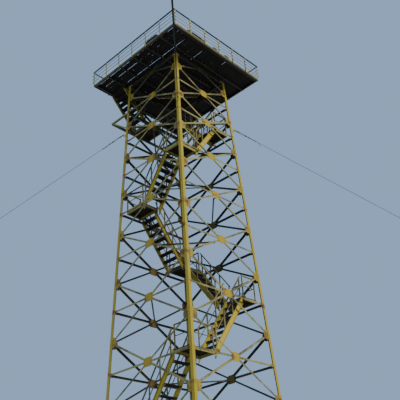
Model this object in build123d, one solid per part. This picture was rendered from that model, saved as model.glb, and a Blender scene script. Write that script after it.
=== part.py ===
"""Steel fire lookout tower: four leaning angle legs braced on every side, stairs that
wind down inside them, an open boarded deck on top and four stays to ground blocks.

Millimetres, +Z up. The origin is on the ground under the tower's axis. The sides of the
tower face -Y (front), +X (right), +Y (back) and -X (left).
"""
import os
from math import atan2, copysign, degrees, hypot, sqrt

from build123d import *

os.makedirs("parts", exist_ok=True)

# Tower frame
TOP_HALF = 1600.0          # half the side at the top of the legs
TAPER = 0.0455             # outward lean of a side, per mm of drop
TOP_PANEL = 790.0          # half panel under the deck
PANELS = [1650.0, 1700.0, 1900.0, 1970.0, 2160.0, 2400.0, 2500.0, 2950.0, 3280.0]
PEDESTAL_HEIGHT = 630.0
PEDESTAL_TOP_SIDE = 520.0
PEDESTAL_FOOT_SIDE = 760.0
BASE_PLATE_SIDE = 380.0
BASE_PLATE_THICKNESS = 20.0
LEG_FLANGE = 130.0
LEG_THICKNESS = 14.0
GUSSET_THICKNESS = 10.0
GUSSET_WIDTH = 460.0       # plate at the middle of a side
GUSSET_HEIGHT = 340.0
LEG_PLATE_REACH = 230.0    # plate at a leg, past the flange
LEG_PLATE_HEIGHT = 400.0
CLEAT_REACH = 110.0
CLEAT_HEIGHT = 100.0
CLEAT_LAP = 70.0           # of a level bar on its cleat
BAR_FLANGE = 75.0
BAR_THICKNESS = 7.0
BAR_START_AT_LEG = 95.0    # from the working point on the leg's flange
BAR_START_AT_MIDDLE = 165.0
PLAN_BAR_FLANGE = 60.0
PLAN_BAR_THICKNESS = 6.0
PLAN_CLEAT = 80.0
PLAN_BAR_REACH = 130.0     # past a middle plate's quarter

# Top frame and deck
TOP_BEAM_DEPTH = 120.0
TOP_BEAM_FLANGE = 55.0
SECTION_WALL = 7.0
DECK_HALF = 2770.0
FASCIA_FLANGE = 55.0
JOIST_DEPTH = 100.0
JOIST_FLANGE = 50.0
JOIST_COUNT = 7
BOARD_THICKNESS = 40.0
BOARD_CLEARANCE = 2.0      # to the fascia's back
DECK_BOARD_COUNT = 25
DECK_BOARD_GAP = 11.0
HATCH_CLEARANCE = 4.0
RAIL_HEIGHT = 900.0        # top of the rail over the fascia's lower edge
POST_FLANGE = 50.0
POST_THICKNESS = 5.0
DECK_BAYS = 6
TOP_RAIL = 45.0
MID_RAIL = 22.0
MID_RAIL_COUNT = 3
MID_RAIL_START = 110.0     # lowest mid rail over the fascia's top

# Stairs
STAIR_WIDTH = 900.0
FACE_CLEARANCE = 175.0     # from a side's plane to the stairs inside it
RISERS = 8
RUN_PER_RISE = 0.74
OUTER_RUN = 1410.0         # of the top flight, outside the back
STRINGER_DEPTH = 200.0
STRINGER_FLANGE = 55.0
STRINGER_WALL = 6.0
STRINGER_OVER_NOSING = 45.0
TREAD_DEPTH = 245.0
TREAD_THICKNESS = 38.0
LANDING_BEAM_DEPTH = 100.0
LANDING_BEAM_WIDTH = 50.0
LANDING_BOARD = 35.0
HANDRAIL_HEIGHT = 900.0
HANDRAIL = 42.0
STAIR_MID_RAIL = 24.0
MID_RAIL_SHARE = 0.55      # of the handrail's height
STAIR_POST = 40.0
POSTS_ON_FLIGHT = 4
POST_INSET = 4.0           # from the edge a post stands at
RAIL_END_GAP = 30.0        # from a landing rail's end to the next edge
GRIP = 0.3                 # clearance between pieces that sit side by side

# Landing outside the back
OUTER_LEFT = -320.0
OUTER_RIGHT = 700.0
OUTER_NEAR = 1705.0
OUTER_FAR = 2745.0
OUTER_BEAM_DEPTH = 110.0
ARM_SIZE = 80.0
LEDGER_WIDTH = 60.0
STRUT_SIZE = 60.0

# Stays
STAY_DROP = 2880.0         # below the top of the legs
STAY_RADIUS = 5.0
ANCHOR_PLACES = {          # X and Y of each ground block
    "front_left": (-19500.0, -18910.0),
    "front_right": (19500.0, -19500.0),
    "back_right": (19500.0, 19500.0),
    "back_left": (-18700.0, 18700.0),
}
ANCHOR_SIDE = 800.0
ANCHOR_HEIGHT = 420.0
ANCHOR_EYE_HEIGHT = 180.0
LUG_THICKNESS = 16.0
LUG_SIDE = 130.0
TURNBUCKLE_LENGTH = 620.0
TURNBUCKLE_WIDTH = 70.0
TURNBUCKLE_THICKNESS = 28.0
TURNBUCKLE_HEAD = 90.0     # solid part at each end
TURNBUCKLE_SIDE = 18.0     # bar on each side of the window

# Levels: node 0 is the legs' top, odd nodes are at the legs, even nodes at the crossings
BASE_LEVEL = PEDESTAL_HEIGHT + BASE_PLATE_THICKNESS
LEG_TOP = BASE_LEVEL + sum(PANELS) + TOP_PANEL
SLOPE = sqrt(1 + TAPER * TAPER)


def half(drop):
    """Half the tower's side at a drop below the top of the legs."""
    return TOP_HALF + TAPER * drop


def node_drops():
    drops = {0: 0.0, 1: TOP_PANEL}
    for i, height in enumerate(PANELS):
        odd = 2 * i + 1
        drops[odd + 2] = drops[odd] + height
        upper, lower = half(drops[odd]), half(drops[odd + 2])
        drops[odd + 1] = drops[odd] + height * upper / (upper + lower)
    return drops


DROP = node_drops()
LAST = max(DROP)
LEVEL = {k: LEG_TOP - d for k, d in DROP.items()}
LANDING_LEVELS = [k for k in range(2, LAST, 2)]
SEAT_LIFT = BAR_FLANGE / 2 - 1.9   # top of a level bar over its node
LANDING_RISE = SEAT_LIFT + LANDING_BEAM_DEPTH + LANDING_BOARD
DECK_TOP = LEG_TOP + JOIST_DEPTH + BOARD_THICKNESS
FASCIA_DEPTH = JOIST_DEPTH + BOARD_THICKNESS + SECTION_WALL


def block(x0, x1, y0, y1, z0, z1):
    size = Box(x1 - x0, y1 - y0, z1 - z0)
    return Pos((x0 + x1) / 2, (y0 + y1) / 2, (z0 + z1) / 2) * size


def turned(shape, quarters):
    return Rot(0, 0, 90 * quarters) * shape


def outline(points, height):
    """A prism on the XY plane from a closed outline."""
    return extrude(make_face(Polyline(*points, close=True)), height)


def angle_profile(flange, thickness):
    """An angle's outline: one flange flat on y, the other down from its upper edge."""
    f, t = flange / 2, thickness
    return [(-f, 0), (f, 0), (f, -flange), (f - t, -flange), (f - t, -t), (-f, -t)]


def channel_profile(depth, flange, wall):
    """A channel's outline: back at y = 0, flanges towards +y, depth along z."""
    w = wall
    return [(0, 0), (flange, 0), (flange, w), (w, w), (w, depth - w),
            (flange, depth - w), (flange, depth), (0, depth)]


def bar_along_x(profile, length):
    face = make_face(Plane.YZ * Polyline(*profile, close=True))
    return extrude(face, length, dir=(1, 0, 0))


def between(profile, start, end, up=(0, 0, 1)):
    """A profile run from one point to another, its z side towards up."""
    start, end = Vector(*start), Vector(*end)
    way = end - start
    side = Vector(*up).cross(way).normalized()
    place = Plane(origin=start, x_dir=way.normalized(), z_dir=way.cross(side).normalized())
    return place.location * bar_along_x(profile, way.length)


def square(side):
    s = side / 2
    return [(-s, -s), (s, -s), (s, s), (-s, s)]


def ring(radius, sides=6):
    """A regular polygon's outline, for a round bar of few sides."""
    turn = 360 / sides
    return [(Vector(radius, 0).rotate(Axis.Z, i * turn).X,
             Vector(radius, 0).rotate(Axis.Z, i * turn).Y) for i in range(sides)]


def keep(name, shapes):
    """Write one node's solids."""
    solids = []
    for shape in shapes if isinstance(shapes, list) else [shapes]:
        solids += shape.solids()
    node = solids[0] if len(solids) == 1 else Compound(children=solids)
    export_step(node, f"parts/{name}.step")


# A side's own frame: x along it, y up its slope, z outward
SIDE = Plane(origin=(0, -TOP_HALF, LEG_TOP), x_dir=(1, 0, 0), z_dir=(0, -1, TAPER))


def on_side(shape, x, drop, depth, angle=0.0):
    """Put a flat-lying shape in the front's frame at a drop, turned within the plane."""
    return SIDE.location * Location((x, -drop * SLOPE, depth), (0, 0, angle)) * shape


# Legs, base plates and pedestals
def leg():
    """The front right leg: an angle, corner outward, between two level outlines."""
    def section(drop):
        corner = half(drop)
        f, t = LEG_FLANGE, LEG_THICKNESS
        z = LEG_TOP - drop
        points = [(0, 0), (-f, 0), (-f, t), (-t, t), (-t, f), (0, f)]
        return make_face(Polyline(*[(corner + x, -corner + y, z) for x, y in points], close=True))
    return loft([section(LEG_TOP - BASE_LEVEL), section(0.0)], ruled=True)


FOOT_HALF = half(LEG_TOP - BASE_LEVEL)
FOOT_CENTRE = FOOT_HALF - LEG_FLANGE / 2


def base_plate():
    s = BASE_PLATE_SIDE / 2
    return block(FOOT_CENTRE - s, FOOT_CENTRE + s, -FOOT_CENTRE - s, -FOOT_CENTRE + s,
                 PEDESTAL_HEIGHT, BASE_LEVEL)


def pedestal():
    foot = Pos(FOOT_CENTRE, -FOOT_CENTRE, 0) * Rectangle(PEDESTAL_FOOT_SIDE, PEDESTAL_FOOT_SIDE)
    head = Pos(FOOT_CENTRE, -FOOT_CENTRE, PEDESTAL_HEIGHT)
    return loft([foot, head * Rectangle(PEDESTAL_TOP_SIDE, PEDESTAL_TOP_SIDE)], ruled=True)


# Bracing of a side, all built for the front and turned
PLATE_DEPTH = -LEG_THICKNESS
BAR_DEPTH = PLATE_DEPTH - GUSSET_THICKNESS


def working_point(k):
    """Where the bars of a leg node aim, on the middle of the leg's flange."""
    return half(DROP[k]) - LEG_FLANGE / 2


def side_bar(x0, drop0, x1, drop1, trim0, trim1):
    """An angle bar between two points of a side, cut short at both ends."""
    dx, dy = x1 - x0, (drop0 - drop1) * SLOPE
    length = hypot(dx, dy)
    bar = bar_along_x(angle_profile(BAR_FLANGE, BAR_THICKNESS), length - trim0 - trim1)
    return on_side(Rot(0, 0, degrees(atan2(dy, dx))) * Pos(trim0, 0, 0) * bar,
                   x0, drop0, BAR_DEPTH)


def side_bracing():
    bars = []
    for k in range(2, LAST, 2):
        d = DROP[k]
        flat = half(d) - LEG_FLANGE - CLEAT_REACH + CLEAT_LAP
        bars.append(side_bar(-flat, d, 0, d, 0, BAR_START_AT_MIDDLE))
        bars.append(side_bar(0, d, flat, d, BAR_START_AT_MIDDLE, 0))
        for odd in (k - 1, k + 1):
            w = working_point(odd)
            bars.append(side_bar(-w, DROP[odd], 0, d, BAR_START_AT_LEG, BAR_START_AT_MIDDLE))
            bars.append(side_bar(0, d, w, DROP[odd], BAR_START_AT_MIDDLE, BAR_START_AT_LEG))
    apex = TOP_BEAM_DEPTH + 20
    w = working_point(1)
    bars.append(side_bar(-w, DROP[1], 0, apex, BAR_START_AT_LEG, BAR_START_AT_MIDDLE * 0.7))
    bars.append(side_bar(0, apex, w, DROP[1], BAR_START_AT_MIDDLE * 0.7, BAR_START_AT_LEG))
    return bars


def middle_gussets():
    w, h, c = GUSSET_WIDTH / 2, GUSSET_HEIGHT / 2, GUSSET_HEIGHT / 4
    points = [(-w, -h + c), (-w + c, -h), (w - c, -h), (w, -h + c),
              (w, h - c), (w - c, h), (-w + c, h), (-w, h - c)]
    plates = []
    for k in range(2, LAST, 2):
        plates.append(on_side(outline(points, GUSSET_THICKNESS), 0, DROP[k], BAR_DEPTH))
    top = [(-w * 0.8, -h * 0.5), (-w * 0.5, -h), (w * 0.5, -h), (w * 0.8, -h * 0.5),
           (w * 0.8, h * 0.45), (-w * 0.8, h * 0.45)]
    plates.append(on_side(outline(top, GUSSET_THICKNESS), 0, TOP_BEAM_DEPTH + 5, BAR_DEPTH))
    return plates


def leg_plates():
    plates = []
    h = LEG_PLATE_HEIGHT / 2
    reach = LEG_FLANGE + LEG_PLATE_REACH
    root = -LEG_THICKNESS - GUSSET_THICKNESS - TAPER * h - 4
    for k in range(LAST + 1):
        if k == 0:
            d, reach_c = TOP_BEAM_DEPTH, LEG_FLANGE + CLEAT_REACH
            points = [(root, -d), (root, -1), (-reach_c, -1), (-reach_c, -d)]
        elif k % 2:
            low = -h if k < LAST else 2.0
            points = [(root, low), (root, h), (-reach * 0.62, h), (-reach, h * 0.35),
                      (-reach, max(low, -h * 0.35)), (-reach * 0.62, low)]
            if k == LAST:
                points = points[:-1]
        else:
            c = CLEAT_HEIGHT / 2
            reach_c = LEG_FLANGE + CLEAT_REACH
            points = [(root, -c), (root, c), (-reach_c, c), (-reach_c, -c)]
        right = on_side(outline(points, GUSSET_THICKNESS), half(DROP[k]), DROP[k], BAR_DEPTH)
        plates += [right, mirror(right, about=Plane.YZ)]
    return plates


# The four corners by quarter turns from the front right one
CORNER_TURNS = {"front_right": 0, "back_right": 1, "back_left": 2, "front_left": 3}
SIDE_TURNS = {"front": 0, "right": 1, "back": 2, "left": 3}


def landing_turn(k):
    """Quarter turns from the front right corner to the landing of an even level."""
    return -((k - 4) // 2) % 4


def plan_braces():
    """Each level has a bar across the corner that faces its landing."""
    braces = []
    for k in LANDING_LEVELS:
        z = LEVEL[k] - BAR_FLANGE / 2 - 4
        reach = half(LEG_TOP - z) + BAR_DEPTH - GRIP
        middle = GUSSET_WIDTH * 0.25
        way = middle + PLAN_BAR_REACH
        bar = between(angle_profile(PLAN_BAR_FLANGE, PLAN_BAR_THICKNESS),
                      (middle, -reach + way, z), (reach - way, -middle, z))
        c = PLAN_CLEAT / 2
        front = block(middle - c, middle + c, -reach, -reach + way + c, z, z + PLAN_BAR_THICKNESS)
        right = block(reach - way - c, reach, -middle - c, -middle + c, z, z + PLAN_BAR_THICKNESS)
        braces.append(turned((bar + front + right).solids()[0], landing_turn(k) + 2))
    return braces


# Top frame and deck
def channel_z(length, depth, flange):
    """A channel along X with its back at y = 0, flanges towards +y, foot at z = 0."""
    return bar_along_x(channel_profile(depth, flange, SECTION_WALL), length)


def top_beam():
    """A channel between two legs, its back against the plates."""
    reach = TOP_HALF - LEG_THICKNESS - 6
    y = -TOP_HALF + LEG_THICKNESS + GUSSET_THICKNESS + GRIP
    trim = TOP_BEAM_FLANGE + GUSSET_THICKNESS + 14
    return Pos(-reach + trim, y, LEG_TOP + SECTION_WALL - TOP_BEAM_DEPTH) * channel_z(
        2 * (reach - trim), TOP_BEAM_DEPTH, TOP_BEAM_FLANGE)


def fascia_side():
    trim = FASCIA_FLANGE + 2
    return Pos(-DECK_HALF + trim, -DECK_HALF, LEG_TOP) * channel_z(
        2 * DECK_HALF - trim - 1, FASCIA_DEPTH, FASCIA_FLANGE)


HATCH_X = (OUTER_LEFT - OUTER_RUN, OUTER_LEFT + 40)
JOIST_FIRST = -DECK_HALF + FASCIA_FLANGE + 60
JOIST_PITCH = -2 * JOIST_FIRST / (JOIST_COUNT - 1)
HATCH_JOIST = JOIST_FIRST + (JOIST_COUNT - 2) * JOIST_PITCH
HATCH_Y = (HATCH_JOIST + HATCH_CLEARANCE, DECK_HALF - FASCIA_FLANGE - HATCH_CLEARANCE)


def joists():
    """Channels along X that carry the boards, run out to the fascia's back, the last one
    stopped at the stair head, where two short headers take its place."""
    out = []
    reach = DECK_HALF - SECTION_WALL - GRIP
    depth = JOIST_DEPTH - SECTION_WALL
    z = LEG_TOP + SECTION_WALL
    for i in range(JOIST_COUNT):
        y = JOIST_FIRST + i * JOIST_PITCH - JOIST_FLANGE / 2
        spans = [(-reach, reach)]
        if i == JOIST_COUNT - 1:
            spans = [(-reach, HATCH_X[0] - JOIST_FLANGE - 2 * GRIP),
                     (HATCH_X[1] + JOIST_FLANGE + 2 * GRIP, reach)]
        for x0, x1 in spans:
            out.append(Pos(x0, y, z) * channel_z(x1 - x0, depth, JOIST_FLANGE))
    y0 = HATCH_JOIST + JOIST_FLANGE / 2 + GRIP
    length = reach - y0
    left = Rot(0, 0, 90) * channel_z(length, depth, JOIST_FLANGE)
    right = Rot(0, 0, -90) * channel_z(length, depth, JOIST_FLANGE)
    out.append(Pos(HATCH_X[0] - GRIP, y0, z) * left)
    out.append(Pos(HATCH_X[1] + GRIP, y0 + length, z) * right)
    return out


def board_places():
    """Each deck board's two edges along X, and whether it ends at the stair head."""
    inner = DECK_HALF - SECTION_WALL - BOARD_CLEARANCE
    pitch = (2 * inner + DECK_BOARD_GAP) / DECK_BOARD_COUNT
    places = []
    for i in range(DECK_BOARD_COUNT):
        x0 = -inner + i * pitch
        x1 = x0 + pitch - DECK_BOARD_GAP
        places.append((x0, x1, x1 > HATCH_X[0] and x0 < HATCH_X[1]))
    return places


def deck_boards():
    """Boards along Y, shorter over the stair head."""
    boards = []
    inner = DECK_HALF - SECTION_WALL - BOARD_CLEARANCE
    for x0, x1, short in board_places():
        far = HATCH_JOIST - HATCH_CLEARANCE if short else inner
        boards.append(block(x0, x1, -inner, far, DECK_TOP - BOARD_THICKNESS, DECK_TOP))
    return boards


def stair_hatch():
    """The lid over the stair head, as wide as the boards it takes the place of."""
    short = [place for place in board_places() if place[2]]
    return block(short[0][0], short[-1][1], HATCH_Y[0], HATCH_Y[1],
                 DECK_TOP - BOARD_THICKNESS, DECK_TOP)


# Stairs
def stringer(x_top, x_foot, z_top, z_foot, y_back, towards):
    """A channel with plumb ends. towards is +1 or -1, the side its flanges are on."""
    lean = hypot(x_top - x_foot, z_top - z_foot) / abs(x_top - x_foot)
    drop, wall = STRINGER_DEPTH * lean, STRINGER_WALL * lean

    def strip(upper, lower, y0, y1):
        points = [(x_top, z_top + STRINGER_OVER_NOSING - upper),
                  (x_foot, z_foot + STRINGER_OVER_NOSING - upper),
                  (x_foot, z_foot + STRINGER_OVER_NOSING - lower),
                  (x_top, z_top + STRINGER_OVER_NOSING - lower)]
        face = make_face(Plane.XZ * Polyline(*points, close=True))
        low, high = min(y0, y1), max(y0, y1)
        return Pos(0, high, 0) * extrude(face, high - low, dir=(0, -1, 0))

    web_end = y_back + towards * STRINGER_WALL
    flange_end = y_back + towards * STRINGER_FLANGE
    web = strip(0, drop, y_back, web_end)
    return web + strip(0, wall, web_end, flange_end) + strip(drop - wall, drop, web_end, flange_end)


class Flight:
    """A straight flight along X from a landing's edge down to the next, in the front's place."""

    def __init__(self, x_top, x_foot, z_top, z_foot, y_out, width, turn, rail_from=0.04):
        self.x_top, self.x_foot, self.z_top, self.z_foot = x_top, x_foot, z_top, z_foot
        self.y_out, self.y_in, self.turn = y_out, y_out + width, turn
        self.step = (x_foot - x_top) / RISERS
        self.rise = (z_top - z_foot) / RISERS
        self.rail_from = rail_from

    def nosing(self, x):
        share = (x - self.x_top) / (self.x_foot - self.x_top)
        return self.z_top + share * (self.z_foot - self.z_top)

    def stringers(self):
        pair = [stringer(self.x_top, self.x_foot, self.z_top, self.z_foot,
                         self.y_out + STRINGER_FLANGE, -1),
                stringer(self.x_top, self.x_foot, self.z_top, self.z_foot,
                         self.y_in - STRINGER_FLANGE, 1)]
        room = block(-DECK_HALF, DECK_HALF, -DECK_HALF, DECK_HALF,
                     0, LEG_TOP + SECTION_WALL - GRIP)
        return [turned((s & room).solids()[0], self.turn) for s in pair]

    def treads(self):
        out = []
        y0 = self.y_out + STRINGER_FLANGE + GRIP
        y1 = self.y_in - STRINGER_FLANGE - GRIP
        for i in range(1, RISERS):
            x = self.x_top + self.step * (i - 0.5)
            z = self.z_top - self.rise * i
            out.append(turned(block(x - TREAD_DEPTH / 2, x + TREAD_DEPTH / 2, y0, y1,
                                    z - TREAD_THICKNESS, z), self.turn))
        return out

    def rail_line(self, y, lift, size):
        run = self.x_foot - self.x_top
        a, b = self.x_top + self.rail_from * run, self.x_foot - 0.04 * run
        return between(square(size), (a, y, self.nosing(a) + lift), (b, y, self.nosing(b) + lift))

    def posts(self, y):
        """Posts with their feet cut to the stringer's upper flange and heads cut to the rail."""
        out = []
        s = STAIR_POST / 2
        lean = hypot(self.x_foot - self.x_top, self.z_top - self.z_foot) / (self.x_foot - self.x_top)
        under_rail = HANDRAIL_HEIGHT - HANDRAIL / 2 * abs(lean) - GRIP
        spread = 0.93 - self.rail_from - 0.04
        count = max(2, round(spread * (POSTS_ON_FLIGHT - 1)) + 1)
        for i in range(count):
            share = self.rail_from + 0.04 + spread * i / (count - 1)
            x = self.x_top + share * (self.x_foot - self.x_top)
            foot = [self.nosing(v) + STRINGER_OVER_NOSING + GRIP for v in (x - s, x + s)]
            head = [self.nosing(v) + under_rail for v in (x - s, x + s)]
            points = [(x - s, foot[0]), (x + s, foot[1]), (x + s, head[1]), (x - s, head[0])]
            face = make_face(Plane.XZ * Polyline(*points, close=True))
            out.append(Pos(0, y + s, 0) * extrude(face, 2 * s, dir=(0, -1, 0)))
        return out

    def handrails(self):
        """On both sides a row of posts, a rail on top and a thin one along their inner faces."""
        out = []
        s = STAIR_POST / 2
        inset = s + STAIR_MID_RAIL / 2 + GRIP
        for y, inward in ((self.y_out + s + POST_INSET, 1), (self.y_in - s - POST_INSET, -1)):
            out += self.posts(y)
            out.append(self.rail_line(y, HANDRAIL_HEIGHT, HANDRAIL))
            out.append(self.rail_line(y + inward * inset, HANDRAIL_HEIGHT * MID_RAIL_SHARE,
                                      STAIR_MID_RAIL))
        return [turned(piece, self.turn) for piece in out]


def corner_rail(x, y, far_x, far_y, top):
    """Posts and rails along two edges of a landing that meet at (x, y)."""
    s, t, m = STAIR_POST / 2, HANDRAIL / 2, STAIR_MID_RAIL
    dx, dy = (1 if far_x > x else -1), (1 if far_y > y else -1)

    def piece(x0, x1, y0, y1, z0, z1):
        return block(min(x0, x1), max(x0, x1), min(y0, y1), max(y0, y1), z0, z1)

    out = []
    z1 = top + HANDRAIL_HEIGHT
    z0 = z1 - HANDRAIL
    for px, py in ((far_x - dx * (s + 10), y), (x, y), (x, far_y - dy * (s + 10))):
        out.append(block(px - s, px + s, py - s, py + s, top, z0 - GRIP))
    out.append(piece(x - dx * t, far_x, y - t, y + t, z0, z1))
    out.append(piece(x - t, x + t, y + dy * (t + GRIP), far_y, z0, z1))
    z1 = top + HANDRAIL_HEIGHT * MID_RAIL_SHARE
    z0 = z1 - m
    near, far = s + GRIP, s + GRIP + m
    out.append(piece(x - dx * s, far_x, y + dy * near, y + dy * far, z0, z1))
    out.append(piece(x + dx * near, x + dx * far, y + dy * (far + GRIP), far_y, z0, z1))
    return out


def corner_flights():
    flights = {}
    for k in LANDING_LEVELS:
        top, foot = k, k + 2
        edge = half(DROP[top]) - FACE_CLEARANCE
        z_top = LEVEL[top] + LANDING_RISE
        z_foot = LEVEL[foot] + LANDING_RISE if foot < LAST else 0.0
        x_top = edge - STAIR_WIDTH
        x_foot = x_top - RUN_PER_RISE * (z_top - z_foot)
        flights[k] = Flight(x_top, x_foot, z_top, z_foot, -edge, STAIR_WIDTH, landing_turn(k))
    return flights


def outer_flight():
    """The top flight, outside the back: it climbs towards -X to the deck."""
    z_foot = LEVEL[2] + LANDING_RISE
    x_top, x_foot = -HATCH_X[0] - GRIP * 3, -OUTER_LEFT + GRIP
    y_out = -(DECK_HALF - FASCIA_FLANGE - HATCH_CLEARANCE)
    width = -(HATCH_JOIST + JOIST_FLANGE / 2 + HATCH_CLEARANCE) - y_out
    under_deck = (DECK_TOP - LEG_TOP + HANDRAIL_HEIGHT + HANDRAIL) / (DECK_TOP - z_foot)
    return Flight(x_top, x_foot, DECK_TOP, z_foot, y_out, width, 2, rail_from=under_deck)


class Landing:
    """A boarded landing in the front left corner's place, where a flight along the front ends."""

    def __init__(self, k, flight_above):
        self.top = LEVEL[k] + LANDING_RISE
        self.turn = landing_turn(k) + 1
        self.side_x = -(half(DROP[k]) - FACE_CLEARANCE)
        self.face_x = -(half(DROP[k]) + BAR_DEPTH - BAR_THICKNESS - 12)
        self.open_side = OUTER_RIGHT if k == 2 else 0.0
        self.face_y = self.face_x
        if flight_above is None:
            self.side_y = self.side_x
            self.end_x = self.side_x + STAIR_WIDTH * 1.35
        else:
            self.side_y = flight_above.y_out
            self.end_x = flight_above.x_foot
        self.end_y = self.side_y + STAIR_WIDTH
        if flight_above is not None:
            self.end_y = -(half(DROP[k]) - FACE_CLEARANCE) + STAIR_WIDTH

    def frame(self):
        d, w = LANDING_BEAM_DEPTH, LANDING_BEAM_WIDTH
        z1 = self.top - LANDING_BOARD
        z0 = z1 - d
        foot_beam = block(self.end_x - w, self.end_x, self.face_y, self.end_y, z0, z1)
        inner_beam = block(self.face_x, self.end_x, self.end_y - w, self.end_y, z0, z1)
        outer_a = block(self.side_x, self.side_x + w, self.side_y, self.end_y, z0, z1)
        outer_b = block(self.side_x, self.end_x, self.side_y, self.side_y + w, z0, z1)
        return turned((foot_beam + inner_beam + outer_a + outer_b).solids()[0], self.turn)

    def boards(self):
        return turned(block(self.side_x, self.end_x, self.side_y, self.end_y,
                            self.top - LANDING_BOARD, self.top), self.turn)

    def rails(self):
        """Rails on the two outer edges."""
        inset = STAIR_POST / 2 + POST_INSET
        far_x = -self.open_side if self.open_side else self.end_x
        rail = corner_rail(self.side_x + inset, self.side_y + inset, far_x - RAIL_END_GAP,
                           self.end_y - RAIL_END_GAP, self.top)
        return [turned(piece, self.turn) for piece in rail]


FLIGHTS = corner_flights()
LANDINGS = {k: Landing(k, FLIGHTS.get(k - 2)) for k in LANDING_LEVELS}
TOP_FLIGHT = outer_flight()


def outer_landing_frame():
    z1 = LEVEL[2] + LANDING_RISE - LANDING_BOARD
    z0 = z1 - LANDING_BEAM_DEPTH
    w = LANDING_BEAM_WIDTH
    inner = half(DROP[2]) + 4
    left = block(OUTER_LEFT, OUTER_LEFT + w, inner, OUTER_FAR + ARM_SIZE, z0, z1)
    right = block(OUTER_RIGHT - w, OUTER_RIGHT, inner, OUTER_FAR + ARM_SIZE, z0, z1)
    near = block(OUTER_LEFT, OUTER_RIGHT, OUTER_NEAR, OUTER_NEAR + w, z0, z1)
    far = block(OUTER_LEFT, OUTER_RIGHT, OUTER_FAR - w, OUTER_FAR, z0, z1)
    return (left + right + near + far).solids()[0]


def outer_landing_boards():
    top = LEVEL[2] + LANDING_RISE
    return block(OUTER_LEFT, OUTER_RIGHT, OUTER_NEAR, OUTER_FAR, top - LANDING_BOARD, top)


def outer_landing_rail():
    inset = STAIR_POST / 2 + POST_INSET
    return corner_rail(OUTER_RIGHT - inset, OUTER_FAR - inset, OUTER_LEFT + RAIL_END_GAP,
                       OUTER_NEAR + RAIL_END_GAP, LEVEL[2] + LANDING_RISE)


def outer_bracket():
    """Arms run out past the two back legs, a beam across their ends, a ledger along the
    legs and a strut under each arm."""
    z1 = LEVEL[2] + SEAT_LIFT
    z0 = z1 - ARM_SIZE
    a = ARM_SIZE
    x = half(DROP[2]) - LEG_FLANGE * 0.63
    y_leg = half(LEG_TOP - z0) + GRIP
    y_end = OUTER_FAR - GRIP
    pieces = [block(-x - a, x + a, OUTER_FAR, OUTER_FAR + a, z1 - OUTER_BEAM_DEPTH, z1),
              block(-x + GRIP, x - GRIP, y_leg, y_leg + LEDGER_WIDTH, z0, z1)]
    y3 = half(DROP[3]) + GRIP
    rise, run = z0 - LEVEL[3], OUTER_FAR - y3
    s = STRUT_SIZE / 2
    lean = hypot(rise, run)
    start_y, start_z = y3 + s * rise / lean, LEVEL[3]
    end_y, end_z = OUTER_FAR - 2 * s, z0 - s * run / lean - GRIP * 2
    for side in (-1, 1):
        low, high = sorted((side * x, side * (x + a)))
        pieces.append(block(low, high, y_leg, y_end, z0, z1))
        mid = side * (x + a / 2)
        pieces.append(between(square(STRUT_SIZE), (mid, start_y, start_z), (mid, end_y, end_z)))
    return pieces


# Stays
def upright_plate(points, thickness):
    """A plate on the XZ plane from its outline there."""
    face = make_face(Plane.XZ * Polyline(*points, close=True))
    return Pos(0, thickness / 2, 0) * extrude(face, thickness, dir=(0, -1, 0))


def turnbuckle():
    """An open frame along X from the origin, flat in the XZ plane."""
    side, depth = TURNBUCKLE_WIDTH / 2, TURNBUCKLE_THICKNESS / 2
    inner = side - TURNBUCKLE_SIDE
    body = block(0, TURNBUCKLE_LENGTH, -depth, depth, -side, side)
    return body - block(TURNBUCKLE_HEAD, TURNBUCKLE_LENGTH - TURNBUCKLE_HEAD, -depth, depth,
                        -inner, inner)


def stay_parts(corner):
    """One stay in the upright plane through its leg's corner and its ground block: lug,
    turnbuckle, cable, eye and block."""
    anchor_x, anchor_y = ANCHOR_PLACES[corner]
    z_top = LEG_TOP - STAY_DROP
    leg_x, leg_y = copysign(half(STAY_DROP), anchor_x), copysign(half(STAY_DROP), anchor_y)
    reach = hypot(anchor_x - leg_x, anchor_y - leg_y)
    plane = Pos(leg_x, leg_y, 0) * Rot(0, 0, degrees(atan2(anchor_y - leg_y, anchor_x - leg_x)))
    lug_half = LUG_SIDE / 2
    lean_out = TAPER * lug_half * sqrt(2)
    r_lug = lean_out + LUG_SIDE
    lug = upright_plate([(lean_out + GRIP, z_top - lug_half), (r_lug, z_top - lug_half),
                         (r_lug, z_top + lug_half), (GRIP - lean_out, z_top + lug_half)],
                        LUG_THICKNESS)
    r_eye = reach - lug_half
    z_eye = ANCHOR_HEIGHT + ANCHOR_EYE_HEIGHT - 50
    eye = upright_plate([(r_eye, ANCHOR_HEIGHT), (r_eye + LUG_SIDE, ANCHOR_HEIGHT),
                         (r_eye + LUG_SIDE, ANCHOR_HEIGHT + ANCHOR_EYE_HEIGHT),
                         (r_eye, ANCHOR_HEIGHT + ANCHOR_EYE_HEIGHT)], LUG_THICKNESS * 1.5)
    drop, out = z_top - z_eye, r_eye - r_lug
    lean = drop / out
    length = hypot(drop, out)

    def point(s):
        return (r_lug + out * s / length, 0, z_top - drop * s / length)

    buckle_start = TURNBUCKLE_WIDTH / 2 * lean + GRIP * 2
    buckle_end = buckle_start + TURNBUCKLE_LENGTH
    cable_end = length - STAY_RADIUS * sqrt(3) / 2 * lean - GRIP
    buckle = Pos(*point(buckle_start)) * Rot(0, degrees(atan2(drop, out)), 0) * turnbuckle()
    cable = between(ring(STAY_RADIUS), point(buckle_end), point(cable_end))
    side = ANCHOR_SIDE / 2
    anchor = block(anchor_x - side, anchor_x + side, anchor_y - side, anchor_y + side,
                   0, ANCHOR_HEIGHT)
    return {"cable": plane * cable, "fittings": [plane * lug, plane * buckle, plane * eye],
            "anchor": anchor}


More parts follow.
